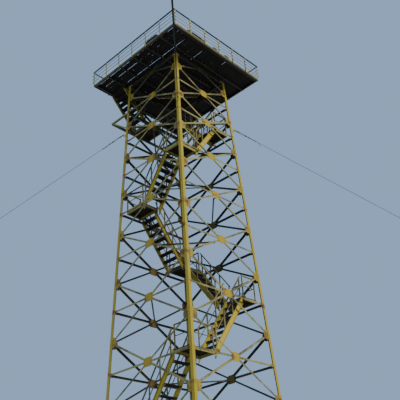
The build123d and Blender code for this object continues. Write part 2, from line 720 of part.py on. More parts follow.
# Deck railing
def railing_side():
    """Angle posts along the front edge, from its left corner to short of the right one."""
    post_h = RAIL_HEIGHT - TOP_RAIL
    posts = []
    pitch = 2 * DECK_HALF / DECK_BAYS
    for i in range(DECK_BAYS):
        x = -DECK_HALF + i * pitch
        profile = [(0, 0), (POST_FLANGE, 0), (POST_FLANGE, POST_THICKNESS),
                   (POST_THICKNESS, POST_THICKNESS), (POST_THICKNESS, POST_FLANGE), (0, POST_FLANGE)]
        posts.append(Pos(x, -DECK_HALF - POST_FLANGE, LEG_TOP + 10) * outline(profile, post_h - 10))
    return posts


def deck_rails():
    t = TOP_RAIL
    z = LEG_TOP + RAIL_HEIGHT - t
    y = -DECK_HALF - POST_FLANGE
    return [block(-DECK_HALF - POST_FLANGE + t + 1, DECK_HALF + POST_FLANGE, y, y + t, z, z + t)]


def deck_mid_rails():
    out = []
    first = FASCIA_DEPTH + MID_RAIL_START
    pitch = (RAIL_HEIGHT - TOP_RAIL - first) / MID_RAIL_COUNT
    for i in range(MID_RAIL_COUNT):
        z = LEG_TOP + first + i * pitch
        y = -DECK_HALF - POST_FLANGE - MID_RAIL
        out.append(block(y + MID_RAIL + 1, -y, y, y + MID_RAIL, z, z + MID_RAIL))
    return out


def all_turns(shapes):
    return [turned(s, q) for q in range(4) for s in shapes]


def build():
    keep("footing_pedestals", all_turns([pedestal()]))
    keep("leg_base_plates", all_turns([base_plate()]))
    for name, q in CORNER_TURNS.items():
        keep(f"leg_{name}", turned(leg(), q))
    bracing = side_bracing()
    for name, q in SIDE_TURNS.items():
        keep(f"{name}_bracing", [turned(b, q) for b in bracing])
    keep("middle_gussets", all_turns(middle_gussets()))
    keep("leg_gussets", all_turns(leg_plates()))
    keep("plan_braces", plan_braces())
    keep("top_frame", all_turns([top_beam()]))
    keep("deck_fascia", all_turns([fascia_side()]))
    keep("deck_joists", joists())
    keep("deck_boards", deck_boards())
    keep("stair_hatch", stair_hatch())
    keep("deck_rail_posts", all_turns(railing_side()))
    keep("deck_top_rail", all_turns(deck_rails()))
    keep("deck_mid_rails", all_turns(deck_mid_rails()))
    keep("landing_frames", [s.frame() for s in LANDINGS.values()] + [outer_landing_frame()])
    keep("landing_boards", [s.boards() for s in LANDINGS.values()] + [outer_landing_boards()])
    keep("landing_rails", [r for s in LANDINGS.values() for r in s.rails()] + outer_landing_rail())
    keep("outer_landing_bracket", outer_bracket())
    flights = [TOP_FLIGHT] + list(FLIGHTS.values())
    for i, flight in enumerate(flights, 1):
        keep(f"flight_{i:02d}_stringers", flight.stringers())
    groups = {"top": flights[:3], "middle": flights[3:6], "bottom": flights[6:]}
    for name, some in groups.items():
        keep(f"{name}_treads", [t for f in some for t in f.treads()])
        keep(f"{name}_handrails", [r for f in some for r in f.handrails()])
    stays = [stay_parts(corner) for corner in ANCHOR_PLACES]
    keep("stay_cables", [stay["cable"] for stay in stays])
    keep("stay_fittings", [piece for stay in stays for piece in stay["fittings"]])
    keep("anchor_blocks", [stay["anchor"] for stay in stays])


build()
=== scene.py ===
"""Looks of a steel fire lookout tower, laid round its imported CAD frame: camera and light,
worn yellow paint, weathered boards, bolts, stay ropes with their fittings, and concrete.

Metres, +Z up. Every new piece is made of rings of points worked out as whole arrays.
"""

import bpy
import numpy as np
from mathutils import Matrix, Vector


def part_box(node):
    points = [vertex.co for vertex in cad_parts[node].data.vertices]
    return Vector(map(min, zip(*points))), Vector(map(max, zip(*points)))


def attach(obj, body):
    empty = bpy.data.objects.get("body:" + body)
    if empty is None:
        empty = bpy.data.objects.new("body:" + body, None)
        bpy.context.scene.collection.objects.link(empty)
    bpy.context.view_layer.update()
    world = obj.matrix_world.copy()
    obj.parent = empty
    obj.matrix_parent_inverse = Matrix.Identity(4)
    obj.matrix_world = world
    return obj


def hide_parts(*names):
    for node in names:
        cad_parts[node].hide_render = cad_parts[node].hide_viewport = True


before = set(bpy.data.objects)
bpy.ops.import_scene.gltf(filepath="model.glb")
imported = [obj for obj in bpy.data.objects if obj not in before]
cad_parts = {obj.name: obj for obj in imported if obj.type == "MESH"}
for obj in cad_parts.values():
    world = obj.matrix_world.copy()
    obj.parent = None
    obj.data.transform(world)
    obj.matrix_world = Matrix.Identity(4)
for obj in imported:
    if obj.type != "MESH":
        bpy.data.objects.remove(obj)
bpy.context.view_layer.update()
scene = bpy.context.scene
UP = np.array([0, 0, 1.0])

# The tower's own values, as in the part's source, in metres
LEG_TOP = 21.95
TOP_HALF = 1.6
TAPER = 0.0455
SLOPE = np.hypot(1, TAPER)
PANELS = [1.65, 1.7, 1.9, 1.97, 2.16, 2.4, 2.5, 2.95, 3.28]
TOP_PANEL = 0.79
LEG_FLANGE = 0.13
FOOT_TOP = 0.65                    # top of the legs' base plates
PLATE_FACE = -0.014                # outer face of the plates, from a side's plane
BAR_FACE = PLATE_FACE - 0.01       # outer face of the bars
BAR_BACK = BAR_FACE - 0.007        # inner face of the bars' flange
DECK_HALF = 2.77
BOARDS_UNDERSIDE = 22.05
DECK_BOARD = 0.032
BOARDS_TOP = BOARDS_UNDERSIDE + DECK_BOARD
FASCIA_TOP = LEG_TOP + 0.147
JOIST_FIRST = -2.655
JOIST_PITCH = 0.885


def half(drop):
    """Half the tower's side at a drop below the top of the legs."""
    return TOP_HALF + TAPER * drop


def level_drops():
    """Drops of the levels: odd ones are at the legs, even ones where the bars cross."""
    odd = TOP_PANEL + np.concatenate([[0.0], np.cumsum(PANELS)])
    share = half(odd[:-1]) / (half(odd[:-1]) + half(odd[1:]))
    drops = np.zeros(2 * len(PANELS) + 2)
    drops[1::2] = odd
    drops[2::2] = odd[:-1] + np.array(PANELS) * share
    return drops


DROPS = level_drops()


# Camera
CAMERA_PLACE = (-17.424, -16.911, 1.654)
CAMERA_RIGHT = Vector((0.69803, -0.71354, -0.06004))
CAMERA_UP = Vector((-0.31815, -0.38416, 0.86672))
CAMERA_LENS = 58.5
SENSOR = 36.0


def add_camera():
    """Stands the camera where the photograph was taken, rolled as its horizon is."""
    lens = bpy.data.cameras.new("photo_camera")
    lens.lens = CAMERA_LENS
    lens.sensor_width = SENSOR
    lens.clip_end = 300.0
    camera = bpy.data.objects.new("photo_camera", lens)
    back = CAMERA_RIGHT.cross(CAMERA_UP).normalized()
    turned = Matrix((CAMERA_RIGHT.normalized(), CAMERA_UP.normalized(), back)).transposed()
    camera.matrix_world = Matrix.Translation(CAMERA_PLACE) @ turned.to_4x4()
    scene.collection.objects.link(camera)
    scene.camera = camera


# Meshes from rings
def neighbours(rows, closed):
    """Each ring and the next; a closed row's last ring goes on to its first."""
    return (rows, np.roll(rows, -1, axis=1)) if closed else (rows[:, :-1], rows[:, 1:])


def enclosed(rings, closed):
    """Six times the volume inside each form's skin, signed by which way its faces look: the
    sum of the triple products of the corners of each quad and of each cap's fan."""
    centred = rings - rings.mean(axis=(1, 2), keepdims=True)
    here, there = neighbours(centred, closed)
    a, b = here, np.roll(here, -1, axis=2)
    d, c = there, np.roll(there, -1, axis=2)
    total = (a * np.cross(b, c)).sum(axis=(1, 2, 3)) + (a * np.cross(c, d)).sum(axis=(1, 2, 3))
    if not closed:
        for ring, sign in ((centred[:, 0], -1), (centred[:, -1], 1)):
            middle = ring.mean(axis=1, keepdims=True)
            fan = np.cross(ring, np.roll(ring, -1, axis=1))
            total += sign * (middle * fan).sum(axis=(1, 2))
    return total


def ring_faces(count, stations, around, closed, first):
    """Quads from each point to its neighbour on the ring and on the next ring, and a cap
    on the first and the last ring unless the row of rings is closed."""
    index = first + np.arange(count * stations * around).reshape(count, stations, around)
    here, there = neighbours(index, closed)
    quads = np.stack([here, np.roll(here, -1, axis=2), np.roll(there, -1, axis=2), there], -1)
    faces = quads.reshape(-1, 4).tolist()
    if not closed:
        faces += index[:, 0, ::-1].tolist() + index[:, -1].tolist()
    return faces


def skin(name, forms, finish, stands_for=(), crease=38):
    """Makes one piece from a form or a list of forms. A form is an array (form, ring, point,
    xyz), or that and True where its row of rings is closed. Forms that would be inside out
    have their rings turned round."""
    points, faces, first = [], [], 0
    for form in forms if isinstance(forms, list) else [forms]:
        rings, closed = form if isinstance(form, tuple) else (form, False)
        inside_out = enclosed(rings, closed) < 0
        rings = np.where(inside_out[:, None, None, None], rings[:, :, ::-1], rings)
        faces += ring_faces(*rings.shape[:3], closed, first)
        points.append(rings.reshape(-1, 3))
        first += len(points[-1])
    mesh = bpy.data.meshes.new(name)
    mesh.from_pydata(np.concatenate(points), [], faces)
    mesh.shade_smooth()
    mesh.set_sharp_from_angle(angle=np.radians(crease))
    material, slot = FINISHES[finish]
    mesh.materials.append(material)
    piece = bpy.data.objects.new(name, mesh)
    scene.collection.objects.link(piece)
    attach(piece, "root")
    if stands_for:
        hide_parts(*stands_for)
    return piece


# Places and directions
def angles(count):
    """A full turn in equal steps."""
    return np.arange(count) * 2 * np.pi / count


def circle(radius, sides, angle=0.0):
    """Points of a circle: the radius times the cosine and the sine of each angle."""
    angle = angles(sides) + angle
    return np.stack([radius * np.cos(angle), radius * np.sin(angle)], -1)


def unit(vectors):
    """Vectors divided by their own length."""
    vectors = np.asarray(vectors, float)
    return vectors / np.linalg.norm(vectors, axis=-1, keepdims=True)


def quarter_turns(vectors):
    """Copies of arrays of points turned about Z by quarter turns, stacked in front."""
    turns = np.array([[[c, -s, 0], [s, c, 0], [0, 0, 1]]
                      for c, s in ((1, 0), (0, 1), (-1, 0), (0, -1))], float)
    return np.einsum("qij,...j->q...i", turns, np.asarray(vectors, float))


SIDE_OUT = np.array([0, -1, TAPER]) / SLOPE
SIDE_UP = np.array([0, TAPER, 1]) / SLOPE


def side_points(x, drop, depth, rise):
    """Points of the front's frame: x along it, a drop down its slope, rise up the slope from
    there, depth outward."""
    up = rise - drop * SLOPE
    return (np.array([0, -TOP_HALF, LEG_TOP]) + x[:, None] * [1.0, 0, 0]
            + up[:, None] * SIDE_UP + depth[:, None] * SIDE_OUT)


def turned_rings(places, axes, profile, sides):
    """Forms turned about an axis: each ring is the place plus a height along the axis and a
    radius round it, as profile gives them in pairs. Six sides make a nut."""
    places, axes = np.atleast_2d(places), unit(np.atleast_2d(axes))
    across = unit(np.cross(np.where(np.abs(axes[:, 2:]) > 0.9, [1.0, 0, 0], UP), axes))
    profile, turn = np.asarray(profile, float), circle(1.0, sides)
    spokes = (turn[:, 0:1] * across[:, None] + turn[:, 1:2] * np.cross(axes, across)[:, None])
    return (places[:, None, None] + profile[None, :, None, 1:2] * axes[:, None, None]
            + profile[None, :, None, 0:1] * spokes[:, None])


def carried(paths, section, up, closed=False):
    """A section carried along one path or several: at each point the path's tangent and the
    given up vector set the two directions in which the section's coordinates are laid. A
    closed path makes a closed form."""
    paths = paths.reshape(-1, *paths.shape[-2:])
    if closed:
        tangent = unit(np.roll(paths, -1, axis=1) - np.roll(paths, 1, axis=1))
    else:
        tangent = unit(np.gradient(paths, axis=1))
    side = unit(np.cross(up, tangent))
    top = np.cross(tangent, side)
    section = np.asarray(section, float)
    rings = (paths[:, :, None] + section[..., 0:1] * side[:, :, None]
             + section[..., 1:2] * top[:, :, None])
    return (rings, True) if closed else rings


def prisms(section, starts, along, across, rise, length):
    """A section drawn out straight: its points laid across and up at a start, and again a
    length further along."""
    starts, along, across, rise = np.broadcast_arrays(*np.atleast_2d(starts, along, across, rise))
    section = np.asarray(section, float)
    ring = section[:, 0:1] * across[:, None] + section[:, 1:2] * rise[:, None]
    step = np.array([0.0, length])[None, :, None, None] * along[:, None, None]
    return starts[:, None, None] + step + ring[:, None]


def solid_boxes(node):
    """Lowest and highest corner of each separate solid of a CAD node: triangles that share
    a point take the lowest label among them until no label changes."""
    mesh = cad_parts[node].data
    mesh.calc_loop_triangles()
    points = np.zeros(len(mesh.vertices) * 3, np.float32)
    mesh.vertices.foreach_get("co", points)
    corners = np.zeros(len(mesh.loop_triangles) * 3, np.int32)
    mesh.loop_triangles.foreach_get("vertices", corners)
    points = points.reshape(-1, 3)[corners].astype(float)
    _, same = np.unique(np.round(points, 5), axis=0, return_inverse=True)
    corners, triangles = same.reshape(-1, 3), points.reshape(-1, 3, 3)
    label, new = None, np.arange(corners.max() + 1)
    while label is None or (new != label).any():
        label, new = new, new.copy()
        np.minimum.at(new, corners.ravel(), np.repeat(label[corners].min(axis=1), 3))
    solids = [triangles[label[corners[:, 0]] == name] for name in np.unique(label[corners])]
    return np.array([(solid.min(axis=(0, 1)), solid.max(axis=(0, 1))) for solid in solids])


# Materials
class Nodes:
    """Adds nodes to a tree, each with its input values or links by socket name or number."""

    def __init__(self, tree):
        self.tree = tree

    def add(self, kind, values=None, **settings):
        """A node of a kind, with its settings and its inputs."""
        node = self.tree.nodes.new(kind)
        for key, value in settings.items():
            setattr(node, key, value)
        for key, value in (values or {}).items():
            self.put(node.inputs[key], value)
        return node

    def put(self, socket, value):
        """Links a socket to an output, or sets its value, a tint as an opaque colour."""
        if isinstance(value, bpy.types.NodeSocket):
            self.tree.links.new(value, socket)
        else:
            socket.default_value = (*value, 1.0) if socket.type == "RGBA" else value

    def math(self, operation, a, b=0.0):
        """An operation on one value or two; the five after it are named for what they do."""
        return self.add("ShaderNodeMath", {0: a, 1: b}, operation=operation).outputs[0]

    def plus(self, a, b):
        return self.math("ADD", a, b)

    def minus(self, a, b):
        return self.math("SUBTRACT", a, b)

    def times(self, a, b):
        return self.math("MULTIPLY", a, b)

    def most(self, a, b):
        return self.math("MAXIMUM", a, b)

    def size(self, a):
        return self.math("ABSOLUTE", a)

    def vector(self, operation, *values, out=0):
        """An operation on vectors."""
        return self.add("ShaderNodeVectorMath", dict(enumerate(values)),
                        operation=operation).outputs[out]

    def parts(self, vector):
        """A vector's X, Y and Z."""
        return self.add("ShaderNodeSeparateXYZ", {0: vector}).outputs

    def remap(self, value, low, high, to_low=0.0, to_high=1.0):
        """A straight change from one range to the other, held at both ends."""
        return self.add("ShaderNodeMapRange", {"Value": value, "From Min": low, "From Max": high,
                                               "To Min": to_low, "To Max": to_high}).outputs[0]

    def mix(self, share, a, b):
        """One colour turned into the other by a share."""
        return self.add("ShaderNodeMix", {0: share, 6: a, 7: b}, data_type="RGBA").outputs[2]

    def layered(self, base, *layers):
        """Lays tints over a base colour, each as its mask, its strength and the tint."""
        for mask, strength, tint in layers:
            base = self.mix(mask if strength == 1 else self.times(mask, strength), base, tint)
        return base

    def noise(self, vector, scale, detail=4.0, roughness=0.55):
        """A cloudy value about a half: octaves of noise, each weaker by the roughness."""
        return self.add("ShaderNodeTexNoise", {"Vector": vector, "Scale": scale,
                                               "Detail": detail,
                                               "Roughness": roughness}).outputs["Fac"]

    def drawn(self, vector, scale, detail, roughness=0.55):
        """A noise drawn out by a different scale along each axis."""
        mapped = self.add("ShaderNodeMapping", {"Vector": vector, "Scale": scale})
        return self.noise(mapped.outputs[0], 1.0, detail, roughness)

    def ramp(self, value, *stops):
        """A colour read between stops, each a place from 0 to 1 and its tint."""
        node = self.add("ShaderNodeValToRGB", {"Fac": value})
        elements = node.color_ramp.elements
        while len(elements) < len(stops):
            elements.new(0.5)
        for element, (place, tint) in zip(elements, stops):
            element.position, element.color = place, (*tint, 1.0)
        return node.outputs["Color"]


def effect(**inputs):
    """Makes a shared shader group of a function: it takes the group's nodes and its inputs,
    which are Place and those given, and returns the outputs by name."""
    def make(build):
        """Sockets for the inputs, the function's own nodes, and sockets for what it returns."""
        tree = bpy.data.node_groups.new(build.__name__, "ShaderNodeTree")

        def socket(label, way, kind):
            return tree.interface.new_socket(label, in_out=way, socket_type="NodeSocket" + kind)

        socket("Place", "INPUT", "Vector")
        for label, value in inputs.items():
            socket(label, "INPUT", "Float").default_value = value
        nodes = Nodes(tree)
        made = build(nodes, nodes.add("NodeGroupInput").outputs)
        for label in made:
            socket(label, "OUTPUT", "Color" if label == "Colour" else "Float")
        nodes.add("NodeGroupOutput", made)
        return tree
    return make


@effect(Scale=1.0)
def uneven_tone(n, given):
    """Broad and fine uneven tone: two noises of different scale, widened to the full range."""
    broad = n.noise(given["Place"], given["Scale"], 5.0)
    fine = n.noise(given["Place"], n.times(given["Scale"], 14.0), 6.0, 0.65)
    return {"Broad": n.remap(broad, 0.32, 0.68), "Fine": n.remap(fine, 0.3, 0.7)}


@effect()
def facing(n, given):
    """How far a surface looks down, up, and in towards the tower's axis: the height of its
    normal, and the normal's part along the way out from the axis, each spread to a share."""
    normal = n.add("ShaderNodeNewGeometry").outputs["Normal"]
    height = n.parts(normal)["Z"]
    outward = n.vector("NORMALIZE", n.vector("MULTIPLY", given["Place"], (1.0, 1.0, 0.0)))
    dot = n.vector("DOT_PRODUCT", outward, normal, out="Value")
    return {"Under": n.remap(height, -0.15, -0.75), "Top": n.remap(height, 0.15, 0.75),
            "Inward": n.remap(dot, 0.02, -0.35)}


@effect(Amount=0.3, Joints=0.5)
def rust_patches(n, given):
    """Rust patches: a noise over a threshold that Amount and the levels' height bands lower,
    with runs drawn down from it, and its colour from orange to near black. The bands are a
    power of the cosine of half turns that a curve counts from level to level."""
    place = given["Place"]
    spaces = len(DROPS) - 1
    heights = (LEG_TOP - DROPS[::-1]) / LEG_TOP
    curve = n.add("ShaderNodeFloatCurve", {"Value": n.remap(n.parts(place)["Z"], 0.0, LEG_TOP)})
    line = curve.mapping.curves[0]
    line.points[0].location = (float(heights[0]), 0.0)
    line.points[1].location = (1.0, 1.0)
    for number, height in enumerate(heights[1:-1], 1):
        line.points.new(float(height), number / spaces)
    curve.mapping.update()
    wave = n.math("COSINE", n.times(curve.outputs[0], spaces * np.pi))
    near = n.math("POWER", n.size(wave), 10.0)
    lift = n.times(near, n.times(given["Joints"], 0.22))
    specks = n.times(n.noise(place, 31.0, 5.0, 0.6), 0.16)
    level = n.plus(n.plus(n.noise(place, 2.3, 8.0, 0.62), specks), lift)
    threshold = n.remap(given["Amount"], 0.0, 1.0, 0.86, 0.48)
    tint = n.ramp(n.noise(place, 17.0, 6.0, 0.7), (0.3, (0.055, 0.026, 0.010)),
                  (0.5, (0.17, 0.078, 0.018)), (0.7, (0.36, 0.19, 0.040)))
    return {"Mask": n.remap(n.minus(level, threshold), 0.0, 0.07), "Colour": tint,
            "Runs": n.remap(n.drawn(place, (26.0, 26.0, 1.1), 3.0), 0.5, 0.68)}


@effect(Radius=0.004)
def worn_edges(n, given):
    """Worn edges: where a rounded normal leaves the flat one, broken up by a noise."""
    rounded = n.add("ShaderNodeBevel", {"Radius": given["Radius"]}, samples=4).outputs[0]
    flat = n.add("ShaderNodeNewGeometry").outputs["Normal"]
    edge = n.remap(n.vector("DOT_PRODUCT", rounded, flat, out="Value"), 0.985, 0.80)
    broken = n.remap(n.noise(given["Place"], 22.0, 5.0), 0.42, 0.6)
    return {"Mask": n.times(edge, broken)}


@effect()
def wood_grain(n, given):
    """Wood grain along X: rings drawn far out along the board, fibres, and dark cracks."""
    grain = {"Tone": ((0.5, 9.0, 9.0), 6.0, 0.6, 0.3, 0.7),
             "Fibres": ((3.0, 140.0, 140.0), 3.0, 0.6, 0.3, 0.7),
             "Cracks": ((1.2, 46.0, 46.0), 5.0, 0.7, 0.60, 0.68)}
    return {label: n.remap(n.drawn(given["Place"], scale, detail, roughness), low, high)
            for label, (scale, detail, roughness, low, high) in grain.items()}


@effect(Amount=0.5)
def dirt_patches(n, given):
    """Soot and lichen: broad patches, finer spots at their rims, and runs drawn down, all
    weighed by Amount."""
    place = given["Place"]
    broad = n.times(n.noise(place, 0.9, 4.0, 0.6), 0.6)
    spots = n.times(n.noise(place, 9.0, 5.0, 0.6), 0.2)
    runs = n.times(n.drawn(place, (14.0, 14.0, 0.9), 3.0), 0.2)
    threshold = n.remap(given["Amount"], 0.0, 1.0, 0.66, 0.36)
    level = n.plus(broad, n.plus(spots, runs))
    return {"Mask": n.remap(n.minus(level, threshold), 0.0, 0.09)}


FINISHES = {}          # material and slot of each finish, by the material's name


class Surface(Nodes):
    """A finish: its material with a Principled shader, and Object coordinates as place."""

    def __init__(self, name, slot):
        material = bpy.data.materials.new(name)
        material.use_nodes = True
        super().__init__(material.node_tree)
        self.tree.nodes.clear()
        self.shader = self.add("ShaderNodeBsdfPrincipled")
        self.add("ShaderNodeOutputMaterial", {"Surface": self.shader.outputs[0]})
        self.place = self.add("ShaderNodeTexCoord").outputs["Object"]
        FINISHES[name] = material, slot

    def use(self, group, **values):
        """Places a shared effect, on Object coordinates unless Place is among its values."""
        return self.add("ShaderNodeGroup", {"Place": self.place, **values},
                        node_tree=group).outputs

    def finish(self, base, rough, relief, strength, distance, metallic=0.0, specular=0.5):
        """Feeds the shader its colour, its roughness and a bump over the relief."""
        bump = self.add("ShaderNodeBump", {"Height": relief, "Strength": strength,
                                           "Distance": distance}).outputs[0]
        for label, value in {"Base Color": base, "Roughness": rough, "Metallic": metallic,
                             "Specular IOR Level": specular, "Normal": bump}.items():
            self.put(self.shader.inputs[label], value)


def shade(tint, share):
    """A tint times a share."""
    return [share * value for value in tint]


def paint(name, fresh, faded, rust, joints, inner, under, dirt, shade_heights=None):
    """Old oil paint on steel: fresh and faded tone in blotches, dirt in patches, painted shade on
    inner and lower surfaces, rust from the joints and on worn edges, with runs below it.
    The last argument gives the height where a band of painted shade begins and where it is
    darkest."""
    s = Surface(name, "yellow_paint")
    tone, looks = s.use(uneven_tone, Scale=1.3), s.use(facing)
    decay = s.use(rust_patches, Amount=rust, Joints=joints)
    # painted shade: surfaces that face in towards the axis or face down are darkened towards near
    # black by the inner and under shares
    painted_shade = s.times(s.most(s.times(looks["Inward"], inner), s.times(looks["Under"], under)),
                    s.remap(tone["Broad"], 0.0, 1.0, 1.0, 0.72))
    base = s.layered(fresh, (tone["Broad"], 1, faded), (tone["Fine"], 0.35, shade(fresh, 0.62)),
                     (looks["Top"], 0.35, (0.26, 0.24, 0.14)),
                     (s.use(dirt_patches, Amount=dirt)["Mask"], 0.8, (0.075, 0.066, 0.026)),
                     (painted_shade, 1, (0.016, 0.013, 0.008)))
    # painted shade by height: the paint darkened towards near black between the two given
    # heights, for the shade under the deck
    if shade_heights:
        wave = s.minus(s.times(s.noise(s.place, 2.6, 4.0), 0.10), 0.05)
        height_shade = s.remap(s.minus(s.parts(s.place)["Z"], wave), *shade_heights)
        base = s.layered(base, (height_shade, 0.9, (0.035, 0.030, 0.012)))
    base = s.layered(base, (decay["Runs"], 0.38 * min(1.0, rust * 2), (0.16, 0.065, 0.018)))
    edges = s.use(worn_edges, Radius=0.004)
    worn = s.most(decay["Mask"], s.times(edges["Mask"], 0.85))
    pits = s.times(s.times(s.noise(s.place, 160.0, 4.0, 0.7), worn), 0.9)
    s.finish(s.mix(worn, base, decay["Colour"]),
             s.most(s.remap(tone["Fine"], 0.0, 1.0, 0.45, 0.65), s.times(worn, 0.9)),
             s.plus(s.times(tone["Fine"], 0.3), pits), 0.45, 0.0012, specular=0.38)


def timber(name, heading, dark, light):
    """Old board: grain along X, or along Y with a heading of a quarter turn, grey weathering
    on top, painted shade darkening the underside."""
    s = Surface(name, "dark_boards")
    along = s.add("ShaderNodeMapping", {"Vector": s.place, "Rotation": (0, 0, -heading)})
    grain = s.use(wood_grain, Place=along.outputs[0])
    tone, looks = s.use(uneven_tone, Scale=2.1), s.use(facing)
    silver = s.times(looks["Top"], s.remap(tone["Broad"], 0.0, 1.0, 0.35, 0.9))
    # painted shade: surfaces that face down darkened towards near black
    darker_below = s.times(looks["Under"], s.remap(tone["Broad"], 0.0, 1.0, 0.9, 0.55))
    base = s.layered(dark, (grain["Tone"], 1, light), (grain["Fibres"], 0.4, shade(dark, 0.5)),
                     (silver, 1, (0.17, 0.155, 0.135)), (darker_below, 1, (0.010, 0.006, 0.004)),
                     (grain["Cracks"], 0.85, (0.006, 0.005, 0.004)))
    s.finish(base, s.remap(tone["Fine"], 0.0, 1.0, 0.74, 0.95),
             s.minus(s.times(grain["Fibres"], 0.6), grain["Cracks"]), 0.6, 0.002, specular=0.22)


def zinc(name, tint, rust):
    """Galvanised steel: crystal spangle, dull white bloom, rust where the zinc is gone."""
    s = Surface(name, "galvanised_steel")
    cells = s.add("ShaderNodeTexVoronoi", {"Vector": s.place, "Scale": 210.0}).outputs["Color"]
    spangle = s.add("ShaderNodeSeparateColor", {0: cells}).outputs[0]
    tone = s.use(uneven_tone, Scale=6.0)
    decay = s.use(rust_patches, Amount=rust, Joints=0.0)
    edges = s.use(worn_edges, Radius=0.0015)
    worn = s.most(decay["Mask"], s.times(edges["Mask"], 0.5))
    base = s.layered(shade(tint, 0.7), (spangle, 1, shade(tint, 1.25)),
                     (tone["Broad"], 0.5, shade(tint, 0.5)), (worn, 1, decay["Colour"]))
    s.finish(base, s.most(s.remap(tone["Fine"], 0, 1, 0.4, 0.62), s.times(worn, 0.9)),
             s.plus(tone["Fine"], worn), 0.3, 0.0008,
             metallic=s.remap(worn, 0.0, 1.0, 0.75, 0.1))


ROPE_LAY = 0.13            # length in which a strand goes round once
STRANDS = 6


def stranded(name, tint):
    """Old wire rope, on its own map that turns with its six strands: each strand of many
    wires, dark and greasy between the strands, rusty in places."""
    s = Surface(name, "galvanised_steel")
    lay = s.parts(s.add("ShaderNodeUVMap", uv_map="lay").outputs["UV"])
    crown = s.size(s.math("COSINE", s.times(lay["X"], STRANDS * np.pi)))
    wire = s.minus(s.times(lay["X"], 7.0 * STRANDS), s.times(lay["Y"], 2 * STRANDS / ROPE_LAY))
    wires = s.size(s.math("SINE", s.times(wire, np.pi)))
    tone = s.use(uneven_tone, Scale=5.0)
    decay = s.use(rust_patches, Amount=0.4, Joints=0.0)
    base = s.layered(shade(tint, 0.8), (tone["Broad"], 1, shade(tint, 1.3)),
                     (decay["Mask"], 0.6, decay["Colour"]),
                     (s.remap(crown, 0.55, 0.1), 0.85, (0.006, 0.005, 0.004)))
    s.finish(base, s.remap(tone["Fine"], 0.0, 1.0, 0.6, 0.85), s.plus(crown, s.times(wires, 0.2)),
             0.8, 0.002, metallic=s.remap(decay["Mask"], 0.0, 1.0, 0.12, 0.03), specular=0.2)


def concrete(name):
    """Cast concrete: cement skin in clouds, pores, and damp at the foot."""
    s = Surface(name, "concrete")
    tone = s.use(uneven_tone, Scale=2.4)
    cells = s.add("ShaderNodeTexVoronoi", {"Vector": s.place, "Scale": 85.0})
    pores = s.remap(cells.outputs["Distance"], 0.16, 0.05)
    darker_below = s.times(s.remap(s.parts(s.place)["Z"], 0.22, 0.0),
                   s.remap(tone["Broad"], 0, 1, 0.8, 0.4))
    base = s.layered((0.42, 0.40, 0.36), (tone["Broad"], 1, (0.27, 0.26, 0.235)),
                     (tone["Fine"], 0.45, (0.19, 0.18, 0.16)),
                     (pores, 0.7, (0.08, 0.075, 0.07)), (darker_below, 1, (0.075, 0.072, 0.055)))
    s.finish(base, s.remap(tone["Fine"], 0, 1, 0.8, 0.97),
             s.minus(s.times(tone["Fine"], 0.5), pores), 0.55, 0.003)


# Fresh tone, faded tone, rust, rust at the joints, painted shade on inner and on lower surfaces,
# dirt, and for some the heights where a band of painted shade begins and where it is darkest
PAINTS = {
    "leg_yellow": [(0.41, 0.29, 0.012), (0.46, 0.37, 0.030), 0.26, 0.9, 0.75, 0.5, 0.24],
    "bar_yellow": [(0.30, 0.245, 0.040), (0.36, 0.325, 0.14), 0.22, 0.35, 0.98, 0.98, 0.68,
                   (21.12, 21.75)],
    "plate_yellow": [(0.42, 0.28, 0.012), (0.44, 0.33, 0.025), 0.33, 0.6, 0.93, 0.95, 0.25,
                     (20.70, 21.20)],
    "gusset_yellow": [(0.35, 0.24, 0.020), (0.40, 0.31, 0.045), 0.40, 0.8, 0.96, 0.95, 0.50],
    "landing_yellow": [(0.36, 0.28, 0.030), (0.42, 0.35, 0.08), 0.20, 0.1, 0.96, 0.98, 0.45],
    "stair_yellow": [(0.52, 0.38, 0.018), (0.56, 0.44, 0.045), 0.20, 0.2, 0.55, 0.9, 0.18],
    "rail_yellow": [(0.42, 0.34, 0.08), (0.50, 0.44, 0.19), 0.26, 0.1, 0.6, 0.6, 0.30],
    "mid_rail_grey": [(0.38, 0.38, 0.32), (0.50, 0.50, 0.45), 0.20, 0.0, 0.2, 0.2, 0.25],
    "hand_rail_yellow": [(0.25, 0.20, 0.035), (0.32, 0.27, 0.10), 0.36, 0.1, 0.7, 0.9, 0.66],
    # near-black tones: painted shade, the frame's paint darkened for the shade under the deck
    "deck_frame_painted_shade": [(0.022, 0.017, 0.008), (0.036, 0.028, 0.012), 0.12, 0.0, 0.97, 0.99,
                          0.6],
    "fascia_yellow": [(0.30, 0.25, 0.045), (0.38, 0.33, 0.10), 0.30, 0.0, 0.95, 0.97, 0.40,
                      (22.075, 22.035)],
    "dark_paint": [(0.012, 0.014, 0.016), (0.026, 0.030, 0.034), 0.20, 0.0, 0.3, 0.4, 0.2],
    "cleat_paint": [(0.36, 0.25, 0.025), (0.42, 0.32, 0.07), 0.4, 0.1, 0.8, 0.9, 0.4],
    "bolt_paint": [(0.30, 0.21, 0.03), (0.36, 0.27, 0.06), 0.5, 0.2, 0.8, 0.6, 0.35],
}
for paint_name, tones in PAINTS.items():
    paint(paint_name, *tones)
timber("deck_timber", np.pi / 2, (0.016, 0.012, 0.009), (0.042, 0.033, 0.026))
timber("tread_timber_x", 0.0, (0.020, 0.014, 0.010), (0.05, 0.037, 0.028))
timber("tread_timber_y", np.pi / 2, (0.020, 0.014, 0.010), (0.05, 0.037, 0.028))
stranded("rope_steel", (0.016, 0.016, 0.016))
zinc("fitting_steel", (0.085, 0.082, 0.078), 0.42)
concrete("cast_concrete")

